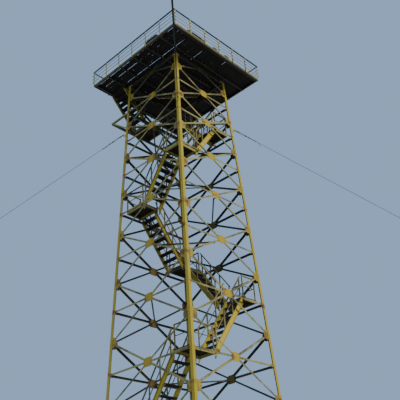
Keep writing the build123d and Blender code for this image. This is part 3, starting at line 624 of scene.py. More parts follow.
# CAD nodes that stay, by the finish that they get
WEARERS = {
    "leg_yellow": ["leg_front_left", "leg_front_right", "leg_back_left", "leg_back_right",
                   "leg_base_plates"],
    "bar_yellow": ["front_bracing", "right_bracing", "back_bracing", "left_bracing",
                   "plan_braces"],
    "plate_yellow": ["middle_gussets"],
    "gusset_yellow": ["leg_gussets"],
    "landing_yellow": ["outer_landing_bracket", "landing_frames"],
    "stair_yellow": [f"flight_{number:02d}_stringers" for number in range(1, 11)],
    "hand_rail_yellow": ["top_handrails", "middle_handrails", "bottom_handrails",
                         "landing_rails"],
    "rail_yellow": ["deck_rail_posts"],
    "mid_rail_grey": ["deck_mid_rails"],
    "deck_frame_painted_shade": ["top_frame", "deck_joists"],
    "fascia_yellow": ["deck_fascia"],
    "dark_paint": ["deck_top_rail"],
}


def dress(finish, node):
    """Gives a CAD node its finish in all its slots."""
    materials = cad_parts[node].data.materials
    if not len(materials):
        materials.append(None)
    for number in range(len(materials)):
        materials[number] = FINISHES[finish][0]


for paint_name, nodes_worn in WEARERS.items():
    for node_name in nodes_worn:
        dress(paint_name, node_name)


# Boards
def plank_section(wide, thick, edge):
    """Rectangles with rounded corners: each corner's centre plus an arc of the edge radius."""
    corner = np.array([(1, 1), (-1, 1), (-1, -1), (1, -1)], float)
    sweep = np.arange(4)[:, None] * np.pi / 2 + np.linspace(0, np.pi / 2, 3)
    arc = np.stack([np.cos(sweep), np.sin(sweep)], -1)
    size = np.stack([wide, thick], -1)[:, None, None] / 2 - edge
    return (size * corner[:, None] + edge * arc).reshape(len(wide), -1, 2)


def plank_rings(boxes, run, edge, stations, wander, dip=0.0, cup=0.0, seed=1):
    """Boards in their boxes: a rounded rectangle carried along the run axis through its
    stations, smaller on the end rings, each ring set off by a little random wander, with
    the upper side dipped towards mid-length by wear and lifted at its edges by cupping."""
    low, high = np.asarray(boxes, float).swapaxes(0, 1)
    size, centre = high - low, (low + high) / 2
    wide, thick = size[:, 1 - run] - 2 * wander, size[:, 2] - 2 * wander
    share = np.concatenate([[0.0], np.linspace(0.0, 1.0, stations), [1.0]])
    along = low[:, run, None] + share * size[:, run, None]
    along[:, 1] += edge
    along[:, -2] -= edge
    section = np.repeat(plank_section(wide, thick, edge)[:, None], stations + 2, axis=1)
    small = plank_section(wide - 2 * edge, thick - 2 * edge, edge / 2)
    section[:, 0] = section[:, -1] = small
    rng = np.random.default_rng(seed)
    shift = rng.normal(0, wander * 0.5, (len(wide), stations + 2, 1, 2)).clip(-wander, wander)
    across = section + shift
    upper = section[..., 1] > 0
    reach = section[..., 0] / (wide[:, None, None] / 2)
    across[..., 1] -= upper * dip * np.sin(np.pi * share)[None, :, None]
    across[..., 1] -= upper * cup * (1 - reach ** 2)
    rings = np.zeros((*across.shape[:3], 3))
    rings[..., run] = along[:, :, None]
    rings[..., 1 - run] = centre[:, None, None, 1 - run] + across[..., 0]
    rings[..., 2] = centre[:, None, None, 2] + across[..., 1]
    return rings


def split_boxes(boxes, axis, pitch, gap):
    """Each box cut across the axis into equal strips near the pitch, a gap apart."""
    out = []
    for low, high in boxes:
        count = max(1, int(round((high[axis] - low[axis]) / pitch)))
        width = (high[axis] - low[axis] - gap * (count - 1)) / count
        start = low[axis] + np.arange(count) * (width + gap)
        lows, highs = np.tile(low, (count, 1)), np.tile(high, (count, 1))
        lows[:, axis], highs[:, axis] = start, start + width
        out.append(np.stack([lows, highs], 1))
    return np.concatenate(out)


SLITS = [(-2.610, 0.026, [(-2.57, -2.13), (-0.24, -0.16), (0.32, 2.52)]),
         (-2.310, 0.027, [(-2.53, -2.44), (-1.24, -1.16), (-0.63, -0.55), (0.23, 1.52),
                          (1.81, 2.45)]),
         (-1.741, 0.025, [(-2.28, 1.52)]),
         (-0.614, 0.027, [(-2.27, -1.60)]),
         (0.716, 0.026, [(-2.66, -2.30)])]   # place along X, widest gap, and spans along Y
BOARD_GAP = 0.007
BOARD_PITCH = 0.215
LID_SPAN = (-1.8757, -0.1162)
LID_FOOT, LID_END = 1.774, 2.711


def deck_board_boxes():
    """Boxes of the deck's boards: the deck's width cut at the slits, each part cut into
    boards near the pitch, and the boards at the stair head cut short."""
    edge = DECK_HALF - 0.009
    beside_lid = [LID_SPAN[0] - BOARD_GAP / 2, LID_SPAN[1] + BOARD_GAP / 2]
    joints = np.array(sorted([place for place, gap, spans in SLITS] + beside_lid))
    lows = np.concatenate([[-edge], joints + BOARD_GAP / 2])
    highs = np.concatenate([joints - BOARD_GAP / 2, [edge]])
    spans = np.array([[(low, -edge, BOARDS_UNDERSIDE), (high, edge, BOARDS_TOP)]
                      for low, high in zip(lows, highs)])
    boards = split_boxes(spans, 0, BOARD_PITCH, BOARD_GAP)
    middle = boards.mean(axis=1)[:, 0]
    boards[(middle > LID_SPAN[0]) & (middle < LID_SPAN[1]), 1, 1] = LID_FOOT - 0.008
    return boards


def opened_edges(rings, boxes):
    """Draws the boards' edges back beside the slits: by half of what the slit is wider than a
    plain gap, times a smooth step up and down at each span's ends, broken by a slow wave."""
    along = rings[..., 1]
    middle = boxes.mean(axis=1)[:, 0]
    for place, gap, spans in SLITS:
        shape = np.zeros_like(along)
        for start, end in spans:
            shape += (np.tanh((along - start) / 0.05) - np.tanh((along - end) / 0.05)) / 2
        shape *= 0.86 + 0.14 * np.sin(along * 7.3 + place * 9)
        draw = shape.clip(0, 1) * (gap - BOARD_GAP) / 2
        left, right = (np.abs(boxes[:, end, 0] - place) < BOARD_GAP for end in (1, 0))
        inner = rings[..., 0] > middle[:, None, None]
        rings[..., 0] -= draw * (left[:, None, None] & inner)
        rings[..., 0] += draw * (right[:, None, None] & ~inner)
    return rings


deck_boxes = deck_board_boxes()
skin("deck_planks", opened_edges(plank_rings(deck_boxes, 1, 0.005, 90, 0.003, cup=0.003, seed=4),
                                 deck_boxes), "deck_timber", ["deck_boards"])

TOE_BOARDS_LEFT = [(-1.66, -0.82, 0.18)]          # span along the edge and height
TOE_BOARDS_FRONT = [(-1.98, -0.90, 0.15), (-0.36, -0.05, 0.115), (0.41, 0.73, 0.105)]


def toe_boards(left, run, seed):
    """What is left of the boards that stood on the deck's edge: planks on edge on the fascia,
    each with its top drawn down towards its ends by a sine, and ragged by a quicker one."""
    inner, outer, foot = DECK_HALF - 0.030, DECK_HALF - 0.008, FASCIA_TOP - 0.001
    boxes = np.array([[(start, -outer, foot), (end, -inner, foot + tall)]
                      for start, end, tall in left])
    if run == 1:
        boxes = boxes[..., [1, 0, 2]]
    rings = plank_rings(boxes, run, 0.004, 24, 0.002, seed=seed)
    low, size = boxes[:, 0, :, None, None], (boxes[:, 1] - boxes[:, 0])[..., None, None]
    rise = (rings[..., 2] - foot) / size[:, 2]
    share = (rings[..., run] - low[:, run]) / size[:, run]
    worn = 0.45 * (1 - np.sin(np.pi * share.clip(0, 1)) ** 0.5) + 0.06 * np.sin(23 * share)
    rings[..., 2] -= rise * worn.clip(0, 1) * size[:, 2]
    return rings


skin("toe_boards_left", toe_boards(TOE_BOARDS_LEFT, 1, 71), "tread_timber_y")
skin("toe_boards_front", toe_boards(TOE_BOARDS_FRONT, 0, 72), "tread_timber_x")


def by_run(boxes):
    """Boxes in two sets, those that run along X and those that run along Y."""
    size = boxes[:, 1] - boxes[:, 0]
    along_x = size[:, 0] > size[:, 1]
    return [boxes[along_x], boxes[~along_x]]


def planks(name, node, sets, edge, stations, wander, dip, seed):
    """Two pieces of worn planks, along X and along Y, the first in the node's place."""
    for run, axis in enumerate("xy"):
        rings = plank_rings(sets[run], run, edge, stations, wander, dip, seed=seed + run)
        skin(f"{name}_{axis}", rings, f"tread_timber_{axis}", () if run else [node])


landing_planks = [split_boxes(boxes, 1 - run, 0.17, 0.008)
                  for run, boxes in enumerate(by_run(solid_boxes("landing_boards")))]
planks("landing_planks", "landing_boards", landing_planks, 0.004, 6, 0.0015, 0.0, 5)
treads = {part: solid_boxes(f"{part}_treads") for part in ("top", "middle", "bottom")}
for step, (part, tread_boxes) in enumerate(treads.items()):
    planks(f"{part}_tread_planks", f"{part}_treads", by_run(tread_boxes), 0.006, 8, 0.001, 0.005,
           10 + 3 * step)


def hatch_lid():
    """The lid over the stair head: boards along X, in the lid's CAD box."""
    low, high = (np.array(v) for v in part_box("stair_hatch"))
    low[2], high[2] = BOARDS_UNDERSIDE + 0.004, BOARDS_TOP
    return plank_rings(split_boxes([(low, high)], 1, 0.155, 0.006), 0, 0.004, 8, 0.0015, seed=31)


skin("hatch_lid", hatch_lid(), "tread_timber_x", ["stair_hatch"])


# Concrete
FORM_BOARD = 0.15          # height of the form's boards, whose joints left lines
CAST_WAVE = 0.0015         # of each of the two waves in the faces
PEDESTAL = {"foot": 0.76, "head": 0.52, "height": 0.63, "chamfer": 0.02}
ANCHOR_HEIGHT = 0.42
ANCHOR_BLOCK = {"foot": 0.8, "head": 0.78, "height": ANCHOR_HEIGHT, "chamfer": 0.025}


def cast_block(centre, seed, foot, head, height, chamfer):
    """A cast block: a square with rounded corners whose side runs from foot to head, carried
    up through many rings, drawn in at the top by the chamfer, its faces pushed in and out
    a little by smooth waves and by the lines left by the form's boards."""
    z = np.concatenate([[0.0], np.linspace(0.0, 1.0, 25), [1.0]]) * height
    z[1], z[-2] = 0.012, height - chamfer
    side = foot + (head - foot) * z / height
    side[0] -= 0.02
    side[-1] -= 2 * chamfer
    angle, up, power = angles(96), z[:, None] / height, 14.0
    shape = (np.abs(np.cos(angle)) ** power + np.abs(np.sin(angle)) ** power) ** (-1 / power)
    phases = np.random.default_rng(seed).uniform(0, 2 * np.pi, 6)
    waves = (np.sin(3 * angle + phases[0]) * np.sin(5 * up + phases[1])
             + np.sin(7 * angle + phases[2]) * np.sin(9 * up + phases[3]))
    joint = np.mod(z + FORM_BOARD / 2, FORM_BOARD) - FORM_BOARD / 2
    lines = -0.0035 * np.exp(-(joint / 0.006) ** 2)
    radius = side[:, None] / 2 * shape - 2 * CAST_WAVE + CAST_WAVE * waves + lines[:, None]
    return np.stack(np.broadcast_arrays(centre[0] + radius * np.cos(angle),
                                        centre[1] + radius * np.sin(angle), z[:, None]), -1)[None]


FOOT_CENTRE = half(LEG_TOP - FOOT_TOP) - LEG_FLANGE / 2
FEET = FOOT_CENTRE * np.array([(1, -1), (1, 1), (-1, 1), (-1, -1)])
ANCHORS = np.array([(-19.5, -18.91), (19.5, -19.5), (19.5, 19.5), (-18.7, 18.7)])
for block_name, node_name, places, block, first_seed in (
        ("pedestal_castings", "footing_pedestals", FEET, PEDESTAL, 40),
        ("anchor_castings", "anchor_blocks", ANCHORS, ANCHOR_BLOCK, 50)):
    skin(block_name, [cast_block(place, first_seed + number, **block)
                      for number, place in enumerate(places)], "cast_concrete", [node_name])


# Bolts and small ironwork: profiles as radius and height, and the section of an angle
BOLT_HEAD = [(0.0115, 0.0), (0.0115, 0.009), (0.0095, 0.0115)]
WASHER = [(0.0148, 0.0), (0.0148, 0.003)]
DOME_HEAD = [(0.0115, 0.0), (0.0095, 0.003), (0.005, 0.0048)]
NAIL_HEAD = [(0.006, 0.0), (0.0048, 0.0014)]
SMALL_NUT = [(0.0075, 0.0), (0.0075, 0.008)]
CLEAT_WALL, CLEAT_LEG = 0.005, 0.045
L_CLEAT = [(0, 0), (CLEAT_LEG, 0), (CLEAT_LEG, -CLEAT_WALL), (CLEAT_WALL, -CLEAT_WALL),
           (CLEAT_WALL, -CLEAT_LEG), (0, -CLEAT_LEG)]
CLEAT_GAUGE = 0.027                    # of a cleat's holes from its corner
LEG_GAUGE = 0.08                       # of the legs' holes from the corner of the side
LEG_HOLES = (-0.15, -0.05, 0.05, 0.15)     # up the leg from where diagonals meet it
SINGLE_HOLES = (-0.025, 0.025)             # and from where a level bar does
BAR_HOLES = (0.018, 0.050)                 # from the end of a level bar
BAR_END, BAR_MIDDLE = 0.04, 0.165          # ends of a level bar, from the leg and the middle
LEG_END_HOLES = (0.125, 0.175)             # of a diagonal, from its end at the leg
CROSSING_HOLES = (0.180, 0.211)            # and from the crossing


def bolt_rings(places, axes):
    """Washer and hexagon head or nut, seated on a surface and turned about the bolt's axis."""
    places, axes = places.reshape(-1, 3), axes.reshape(-1, 3)
    return [turned_rings(places, axes, WASHER, 10),
            turned_rings(places + unit(axes) * WASHER[1][1], axes, BOLT_HEAD, 6)]


def lattice_bolts():
    """All bolts of the front side as x, drop, rise, and the depths under head and nut: on
    the legs' gauge line at each level, at both ends of each level bar, and on each diagonal
    near the leg and near the crossing."""
    odd, even = DROPS[1::2], DROPS[2:-1:2]
    spots = []

    def add(x, drop, rise, head_at=PLATE_FACE, nut_at=BAR_BACK):
        """One row of bolts."""
        spots.append(np.stack(np.broadcast_arrays(x, drop, rise, head_at, nut_at), -1))

    for side in (-1, 1):
        for rise in LEG_HOLES:
            rows = odd[:-1] if rise < 0 else odd
            add(side * (half(rows) - LEG_GAUGE), rows, rise, 0.0, BAR_FACE)
        for rise in SINGLE_HOLES:
            add(side * (half(even) - LEG_GAUGE), even, rise, 0.0, BAR_FACE)
        for step in BAR_HOLES:
            add(side * (half(even) - LEG_FLANGE - BAR_END - step), even, 0.0)
            add(side * (BAR_MIDDLE + step), even, 0.0)
        for upper, way in ((odd[:-1], 1), (odd[1:], -1)):
            leg_x, fall = half(upper) - LEG_FLANGE / 2, np.abs(even - upper) * SLOPE
            length = np.hypot(leg_x, fall)
            for near in LEG_END_HOLES:
                add(side * (leg_x - near * leg_x / length), upper, -way * near * fall / length)
            for near in CROSSING_HOLES:
                add(side * near * leg_x / length, even, way * near * fall / length)
    return np.concatenate(spots).T


def build_lattice_bolts():
    """The front side's bolts on all four sides, as heads outside and nuts inside."""
    x, drop, rise, under_head, under_nut = lattice_bolts()
    heads = quarter_turns(side_points(x, drop, under_head, rise))
    nuts = quarter_turns(side_points(x, drop, under_nut, rise))
    out = np.broadcast_to(quarter_turns(SIDE_OUT)[:, None], heads.shape)
    skin("lattice_bolt_heads", bolt_rings(heads, out), "bolt_paint")
    skin("lattice_bolt_nuts", bolt_rings(nuts, -out), "bolt_paint")


build_lattice_bolts()


def gathered(pairs):
    """Places and axes from pairs of an array of places and the axis that they share."""
    return (np.concatenate([place.reshape(-1, 3) for place, axis in pairs]),
            np.concatenate([np.broadcast_to(axis, place.shape).reshape(-1, 3)
                            for place, axis in pairs]))


TREAD_CLEAT = 0.2          # length of the angle under a tread's end
TREAD_HOLES = (-0.06, 0.06)    # of its bolts from its middle
WEB_SPREAD = 0.8           # how far apart the web's bolts stand, as a share of the tread's
WEB_FACE = 0.0064          # far face of the stringer's web, beyond the tread's end
WORN_IN = 0.0015           # depth of the bolts' heads under the top of the tread's box


def tread_ironwork():
    """Under both ends of each tread an angle against the stringer's web, two coach bolts
    through the tread and two through the web."""
    boxes = np.concatenate(list(treads.values()))
    size = boxes[:, 1] - boxes[:, 0]
    long_x = (size[:, 0] > size[:, 1])[:, None]
    axis = np.where(long_x, [1.0, 0, 0], [0, 1.0, 0])
    depth = np.where(long_x, [0, 1.0, 0], [1.0, 0, 0])
    foot = boxes.mean(axis=1) - UP * size[:, 2:] / 2
    cleats, heads, nuts = [], [], []
    for end in (-1, 1):
        corner = foot + end * size[:, :2].max(axis=1)[:, None] / 2 * axis
        cleats.append(prisms(L_CLEAT, corner - depth * TREAD_CLEAT / 2, depth, -end * axis, UP,
                             TREAD_CLEAT))
        for off in TREAD_HOLES:
            place = corner - end * CLEAT_GAUGE * axis + depth * off
            web = corner - UP * CLEAT_GAUGE + depth * off * WEB_SPREAD
            heads += [(place + UP * (size[:, 2:] - WORN_IN), UP),
                      (web + end * WEB_FACE * axis, end * axis)]
            nuts += [(place - UP * CLEAT_WALL, -UP), (web - end * CLEAT_WALL * axis, -end * axis)]
    return np.concatenate(cleats), gathered(heads), gathered(nuts)


POSTS = 6                  # on a side, without the corner that starts the next side
POST_CLEAT, CLEAT_FOOT = 0.105, 0.022      # a post's angle: its length, its foot over the legs
POST_HOLES = (0.025, 0.078)                # of its bolts from its foot
MID_RAILS = (0.268, 0.46733, 0.66666)      # heights of the mid rails' middles over the legs
RAIL_BOLT, RAIL_FACE = 0.022, 0.072        # of their bolts: past the post, out from the deck


def post_ironwork():
    """Beside the foot of each deck post an angle that bolts it to the fascia, and a bolt
    through each mid rail."""
    x = -DECK_HALF + np.arange(POSTS) * 2 * DECK_HALF / POSTS
    front, left = (0, -1.0, 0), (-1.0, 0, 0)

    def row(off, y, z):
        """A place beside each post."""
        return np.stack(np.broadcast_arrays(x + off, y, z), -1)

    corner = row(0.005, -DECK_HALF, LEG_TOP + CLEAT_FOOT)
    cleats = quarter_turns(prisms(L_CLEAT, corner, UP, (1, 0, 0), (0, 1, 0), POST_CLEAT))
    pairs = []
    for lift in POST_HOLES:
        pairs += [(corner + [CLEAT_GAUGE, -CLEAT_WALL, lift], front),
                  (corner + [-CLEAT_WALL, -CLEAT_GAUGE, lift], left)]
    for lift in MID_RAILS:
        pairs.append((row(RAIL_BOLT, -DECK_HALF - RAIL_FACE, LEG_TOP + lift), front))
    places, axes = (quarter_turns(vectors).reshape(-1, 3) for vectors in gathered(pairs))
    return cleats.reshape(-1, *cleats.shape[2:]), places, axes


JOISTS = 7
DECK_NAILS, LANDING_NAILS = 0.055, 0.045       # half the distance between two nails
NAIL_INSET = 0.03                              # of a landing's nails from its boards' ends
DECK_SUNK, LANDING_SUNK = 0.0058, 0.0022       # of the heads under the boards' highest line


def nail_places():
    """Two nails where each deck board crosses a joist, and at both ends of each landing
    board."""
    joists = JOIST_FIRST + np.arange(JOISTS) * JOIST_PITCH
    grid = np.meshgrid(np.arange(len(deck_boxes)), joists, [-DECK_NAILS, DECK_NAILS],
                       indexing="ij")
    board, joist, off = (values.ravel() for values in grid)
    nails = np.stack([deck_boxes.mean(axis=1)[board, 0] + off, joist,
                      np.full(len(off), BOARDS_TOP - DECK_SUNK)], -1)
    spots = [nails[joist < deck_boxes[board, 1, 1]]]
    for run, boxes in enumerate(landing_planks):
        for end, inset in ((0, NAIL_INSET), (1, -NAIL_INSET)):
            for off in (-LANDING_NAILS, LANDING_NAILS):
                place = boxes.mean(axis=1)
                place[:, run] = boxes[:, end, run] + inset
                place[:, 1 - run] += off
                place[:, 2] = boxes[:, 1, 2] - LANDING_SUNK
                spots.append(place)
    return np.concatenate(spots)


def threaded(length, radius, pitch=0.004, depth=0.0009):
    """A rod's profile whose radius goes up and down along its thread."""
    steps = np.arange(0, length, pitch / 2)
    return np.stack([radius - depth * (np.arange(len(steps)) % 2), steps], -1)


BASE_HOLES = (-0.15, 0.15)     # of the base plates' bolts from the leg's middle
FOOT_WASHER = [(0.026, 0.0), (0.026, 0.004)]
FOOT_NUT = [(0.0165, 0.0), (0.018, 0.002), (0.018, 0.019), (0.0165, 0.021)]
STIFFENER = [(-0.008, 0), (0.115, 0), (0.115, 0.012), (0.012, 0.125), (-0.008, 0.125)]
STIFFENER_PLATE = 0.01


def foot_bolts():
    """On each base plate four anchor bolts, each with a washer, a nut and its thread."""
    off = np.array([(x, y, 0.0) for x in BASE_HOLES for y in BASE_HOLES])
    place = quarter_turns(np.array([FOOT_CENTRE, -FOOT_CENTRE, FOOT_TOP]) + off).reshape(-1, 3)
    return [turned_rings(place, UP, FOOT_WASHER, 16),
            turned_rings(place + UP * FOOT_WASHER[1][1], UP, FOOT_NUT, 6),
            turned_rings(place, UP, threaded(0.052, 0.0118, 0.003, 0.001), 10)]


def foot_stiffeners():
    """Two triangular plates on each base plate, one against each flange of the leg."""
    edge, near, plate = half(LEG_TOP - FOOT_TOP), STIFFENER_PLATE / 2, STIFFENER_PLATE
    pair = [prisms(STIFFENER, (edge, -FOOT_CENTRE - near, FOOT_TOP), (0, 1, 0), (1, 0, 0), UP,
                   plate),
            prisms(STIFFENER, (FOOT_CENTRE - near, -edge, FOOT_TOP), (1, 0, 0), (0, -1, 0), UP,
                   plate)]
    return quarter_turns(np.concatenate(pair)).reshape(-1, 2, len(STIFFENER), 3)


HINGES, HALF_STRAP = (-1.55, -0.45), 0.025     # places along X, and half a strap's width
BARREL = [(0.0055, 0.0), (0.0075, 0.003), (0.0075, 0.024), (0.006, 0.026), (0.006, 0.028),
          (0.0075, 0.030), (0.0075, 0.051), (0.006, 0.053), (0.006, 0.055), (0.0075, 0.057),
          (0.0075, 0.077), (0.0055, 0.08)]
RING_X, RING_Y, RING_RADIUS = -1.0, LID_END - 0.17, 0.05
STAPLE = [(-0.012, -0.003), (-0.012, 0.003), (-0.006, 0.0055), (0.006, 0.0055), (0.012, 0.003),
          (0.012, -0.003)]                     # along the lid and up, from the ring's far side


def lid_ironwork():
    """On the stair lid two strap hinges with their barrels, and a lifting ring."""
    straps = np.array([[(x - HALF_STRAP, LID_FOOT + 0.012, BOARDS_TOP - 0.001),
                        (x + HALF_STRAP, LID_END - 0.12, BOARDS_TOP + 0.005)] for x in HINGES])
    barrels = np.array([(x - BARREL[-1][1] / 2, LID_FOOT - 0.003, BOARDS_TOP - 0.001)
                        for x in HINGES])
    ring = np.insert(circle(RING_RADIUS, 40) + [RING_X, RING_Y], 2, BOARDS_TOP + 0.0035, axis=1)
    staple = np.array([(RING_X, RING_Y + RING_RADIUS + y, BOARDS_TOP + z) for y, z in STAPLE])
    return [plank_rings(straps, 1, 0.0018, 10, 0.0004, seed=33),
            turned_rings(barrels, (1, 0, 0), BARREL, 12),
            carried(ring, circle(0.004, 8), UP, closed=True),
            carried(staple, circle(0.003, 8), (1.0, 0, 0))]


def build_ironwork():
    """Makes the pieces of all small ironwork."""
    cleats, heads, nuts = tread_ironwork()
    skin("tread_cleats", cleats, "cleat_paint", crease=30)
    skin("tread_bolt_heads", turned_rings(*heads, DOME_HEAD, 8), "fitting_steel")
    skin("tread_bolt_nuts", turned_rings(*nuts, SMALL_NUT, 6), "fitting_steel")
    cleats, places, axes = post_ironwork()
    skin("post_cleats", cleats, "cleat_paint", crease=30)
    skin("post_bolts", turned_rings(places, axes, BOLT_HEAD, 6), "bolt_paint")
    skin("board_nails", turned_rings(nail_places(), UP, NAIL_HEAD, 7), "fitting_steel")
    skin("anchor_bolts", foot_bolts(), "fitting_steel")
    skin("foot_stiffeners", foot_stiffeners(), "leg_yellow", crease=30)
    skin("lid_hinges", lid_ironwork(), "fitting_steel")


build_ironwork()


# Stays
STAY_TOP = LEG_TOP - 2.88
LUG_SIDE = 0.13
EYE_LINE = 0.55            # height of the rope's line where it meets the ground eye
ROPE_RADIUS = 0.008
PIN_INSET = 0.035          # of a pin from the end of its plate, along the rope
LOOP = 0.030               # radius of the rope's bend round a thimble
UPPER_LOOP = 0.706         # centre of the upper bend, from the lug's end
LOWER_LOOP = 0.055         # centre of the lower bend, short of the ground eye
TAIL_SIDE = 0.0168         # of the rope's clipped tail from the rope
CLIPS = (0.20, 0.29, 0.38)     # of the clips from the bend's centre
CLIP_HALF = 0.0205         # half the width between a clip's two legs
CLIP_ROD = 0.004           # radius of a clip's U bolt
CLIP_TURN = 0.0140         # how high its bend goes over the ropes
CLIP_FEET = (-0.031, -0.010)                   # of its legs, from the ropes' middle
CLIP_NUTS = 0.020
SADDLE_WIDE, SADDLE_THICK, SADDLE_LONG, SADDLE_DROP = 0.056, 0.012, 0.028, 0.014
LUG_HOLE, LUG_PLATE = 0.0095, 0.016            # the holes' radius and the plates' thickness
EYE_HALF, EYE_RISE = 0.098, 0.082              # half the eye's side, its middle over the block
EYE_HOLE, EYE_PLATE = 0.011, 0.024


class Stay:
    """A stay's own frame: a distance along the rope's line from the lug's end, to the side,
    and square to both in its upright plane."""

    def __init__(self, anchor):
        """The line leaves the leg's corner towards the anchor, from the lug's end at the stay's
        top down to where the ground eye starts."""
        corner = np.sign(anchor) * half(LEG_TOP - STAY_TOP)
        reach = np.linalg.norm(anchor - corner)
        self.corner = np.array([*corner, 0.0])
        self.out = np.array([*(anchor - corner), 0.0]) / reach
        self.lug_end = TAPER * LUG_SIDE / np.sqrt(2) + LUG_SIDE
        self.eye_start = reach - LUG_SIDE / 2
        self.start = self.upright(self.lug_end, STAY_TOP)
        end = self.upright(self.eye_start, EYE_LINE)
        self.length = np.linalg.norm(end - self.start)
        self.along = (end - self.start) / self.length
        self.side = unit(np.cross(UP, self.along))
        self.top = np.cross(self.along, self.side)

    def upright(self, out, height):
        """The point at a distance out from the leg's corner and at a height."""
        return self.corner + out * self.out + UP * height

    def at(self, *points):
        """Points given as (along, side, top) put in place."""
        points = np.asarray(points, float)
        return (self.start + points[..., 0:1] * self.along + points[..., 1:2] * self.side
                + points[..., 2:3] * self.top)


def holed_plate(centre, wide, half_size, pin, hole, thick, edge=0.0015):
    """An upright plate round its hole: at each angle a row runs from the hole's rim to the
    outline, a square with soft corners, over one face and back over the other."""
    turn, t = circle(1.0, 48), thick / 2
    pin = ((pin - centre) @ wide, (pin - centre) @ UP)
    outer = half_size * (np.abs(turn) ** 9).sum(axis=1, keepdims=True) ** (-1 / 9) * turn
    inner = pin + hole * turn
    way = unit(outer - inner) * edge
    rows = [(inner, edge - t), (inner + way, -t), (outer - way, -t), (outer, edge - t),
            (outer, t - edge), (outer - way, t), (inner + way, t), (inner, t - edge)]
    flat = np.stack([row for row, depth in rows], 1)
    depth = np.array([depth for row, depth in rows])
    rings = (centre + flat[..., 0:1] * wide + flat[..., 1:2] * UP
             + depth[:, None] * np.cross(wide, UP))
    return rings[None], True


def bow_path(pin, tip, reach):
    """A U in its own plane: from the pin along one leg, round a half circle and back, as
    distance along and across. Reach is half its width and tip the far end of the bend."""
    way = np.sign(tip - pin)
    bend = np.linspace(-np.pi / 2, np.pi / 2, 11)
    centre = tip - way * reach
    curve = np.stack([centre + way * reach * np.cos(bend), reach * np.sin(bend)], -1)
    near = pin + (centre - pin) * 0.8
    return np.concatenate([[(pin, -reach), (near, -reach)], curve, [(near, reach), (pin, reach)]])


def on_side(path):
    """A flat path laid in the plane of the rope and the side."""
    return np.insert(path, 2, 0.0, axis=1)


def on_top(path):
    """A flat path laid in the stay's upright plane."""
    return np.insert(path, 1, 0.0, axis=1)


# Turnbuckle and shackle: distances are along the rope from the lug's end
JAW_TIP, BODY_MIDDLE, BUCKLE_EYE = 0.048, 0.335, 0.672
JAW_START, JAW_HALF, JAW_STRAP = 0.016, 0.0135, [0.004, 0.015]     # past the pin, half width
BODY_REACH, BODY_HALF, BODY_BAR = 0.268, 0.0265, [0.0085, 0.012]   # half length, half height
EYE_RADIUS, EYE_BAR = 0.024, 0.0075
BOSSES = (0.058, 0.552)                    # starts of the body's two bosses
SCREWS = ((0.046, 0.17), (0.47, 0.182))    # start and length of each screw
SCREW = 0.008                              # their radius
SHACKLE_TIP = 0.0435                       # of the bow's far end, short of the ground eye
SHACKLE_HALF, SHACKLE_BAR = 0.0195, 0.0065
BOSS = [(0.012, 0.0), (0.0165, 0.004), (0.0165, 0.056), (0.012, 0.06)]
JAW_PIN = [(0.0115, -0.026), (0.0115, -0.0185), (0.0068, -0.018), (0.0068, 0.018),
           (0.0115, 0.0185), (0.0115, 0.026)]
SHACKLE_PIN = [(0.013, -0.036), (0.013, -0.0275), (0.0085, -0.027), (0.0085, 0.027),
               (0.0125, 0.0275), (0.0125, 0.038)]


def turnbuckle(stay):
    """A jaw pinned to the lug, its screw, the open body, the lower screw and its eye. The
    body follows a rounded oblong: a circle whose reach grows towards its corners."""
    jaw = on_side(bow_path(-PIN_INSET - JAW_START, JAW_TIP, JAW_HALF))
    c, s = circle(1.0, 56).T
    reach = (np.abs(c) ** 12 + np.abs(s) ** 4) ** (-1 / 12)
    body = np.stack([BODY_MIDDLE + BODY_REACH * reach * c,
                     BODY_HALF * np.sign(s) * np.abs(s) ** 0.45], -1)
    eye = circle(EYE_RADIUS, 24) + [BUCKLE_EYE, 0]
    return [
        carried(stay.at(*jaw), circle(1.0, 12) * JAW_STRAP, stay.top),
        carried(stay.at(*on_top(body)), circle(1.0, 10) * BODY_BAR, stay.side, closed=True),
        carried(stay.at(*on_top(eye)), circle(EYE_BAR, 10), stay.side, closed=True),
        turned_rings(stay.at(*[(start, 0, 0) for start in BOSSES]), stay.along, BOSS, 14),
        *(turned_rings(stay.at((start, 0, 0)), stay.along, threaded(length, SCREW), 10)
          for start, length in SCREWS),
        turned_rings(stay.at((-PIN_INSET, 0, 0)), stay.side, JAW_PIN, 12),
    ]


def shackle(stay):
    """At the ground eye: a bow round the rope's loop and a pin through the plate."""
    pin_at = stay.length + PIN_INSET
    bow = stay.at(*on_side(bow_path(pin_at, stay.length - SHACKLE_TIP, SHACKLE_HALF)))
    return [carried(bow, circle(SHACKLE_BAR, 12), stay.top),
            turned_rings(stay.at((pin_at, 0, 0)), stay.side, SHACKLE_PIN, 12)]


def loop_shape(tail_points, spread):
    """The rope's end as distance from the bend's centre and across: a clipped tail, a half
    circle round the thimble, and the way back to the middle line."""
    bend = np.linspace(-np.pi / 2, np.pi / 2, 15)
    tail = [(0.46, -TAIL_SIDE), (0.36, -TAIL_SIDE), (0.24, -TAIL_SIDE), (0.165, -TAIL_SIDE),
            (0.12, -0.0190), (0.08, -0.0245), (0.04, -0.0290)]
    back = [(0.04, 0.0275), (0.08, 0.0190), (0.12, 0.0070), (0.17, 0.0), (0.24, 0.0)]
    curve = np.stack([-spread * np.cos(bend), spread * np.sin(bend)], -1)
    return np.concatenate([tail[-tail_points:], curve, back])


LOOSE_TAIL = [(0.71, -0.052, -0.205), (0.67, -0.047, -0.140), (0.61, -0.038, -0.080),
              (0.54, -0.028, -0.034), (0.49, -0.020, -0.008)]


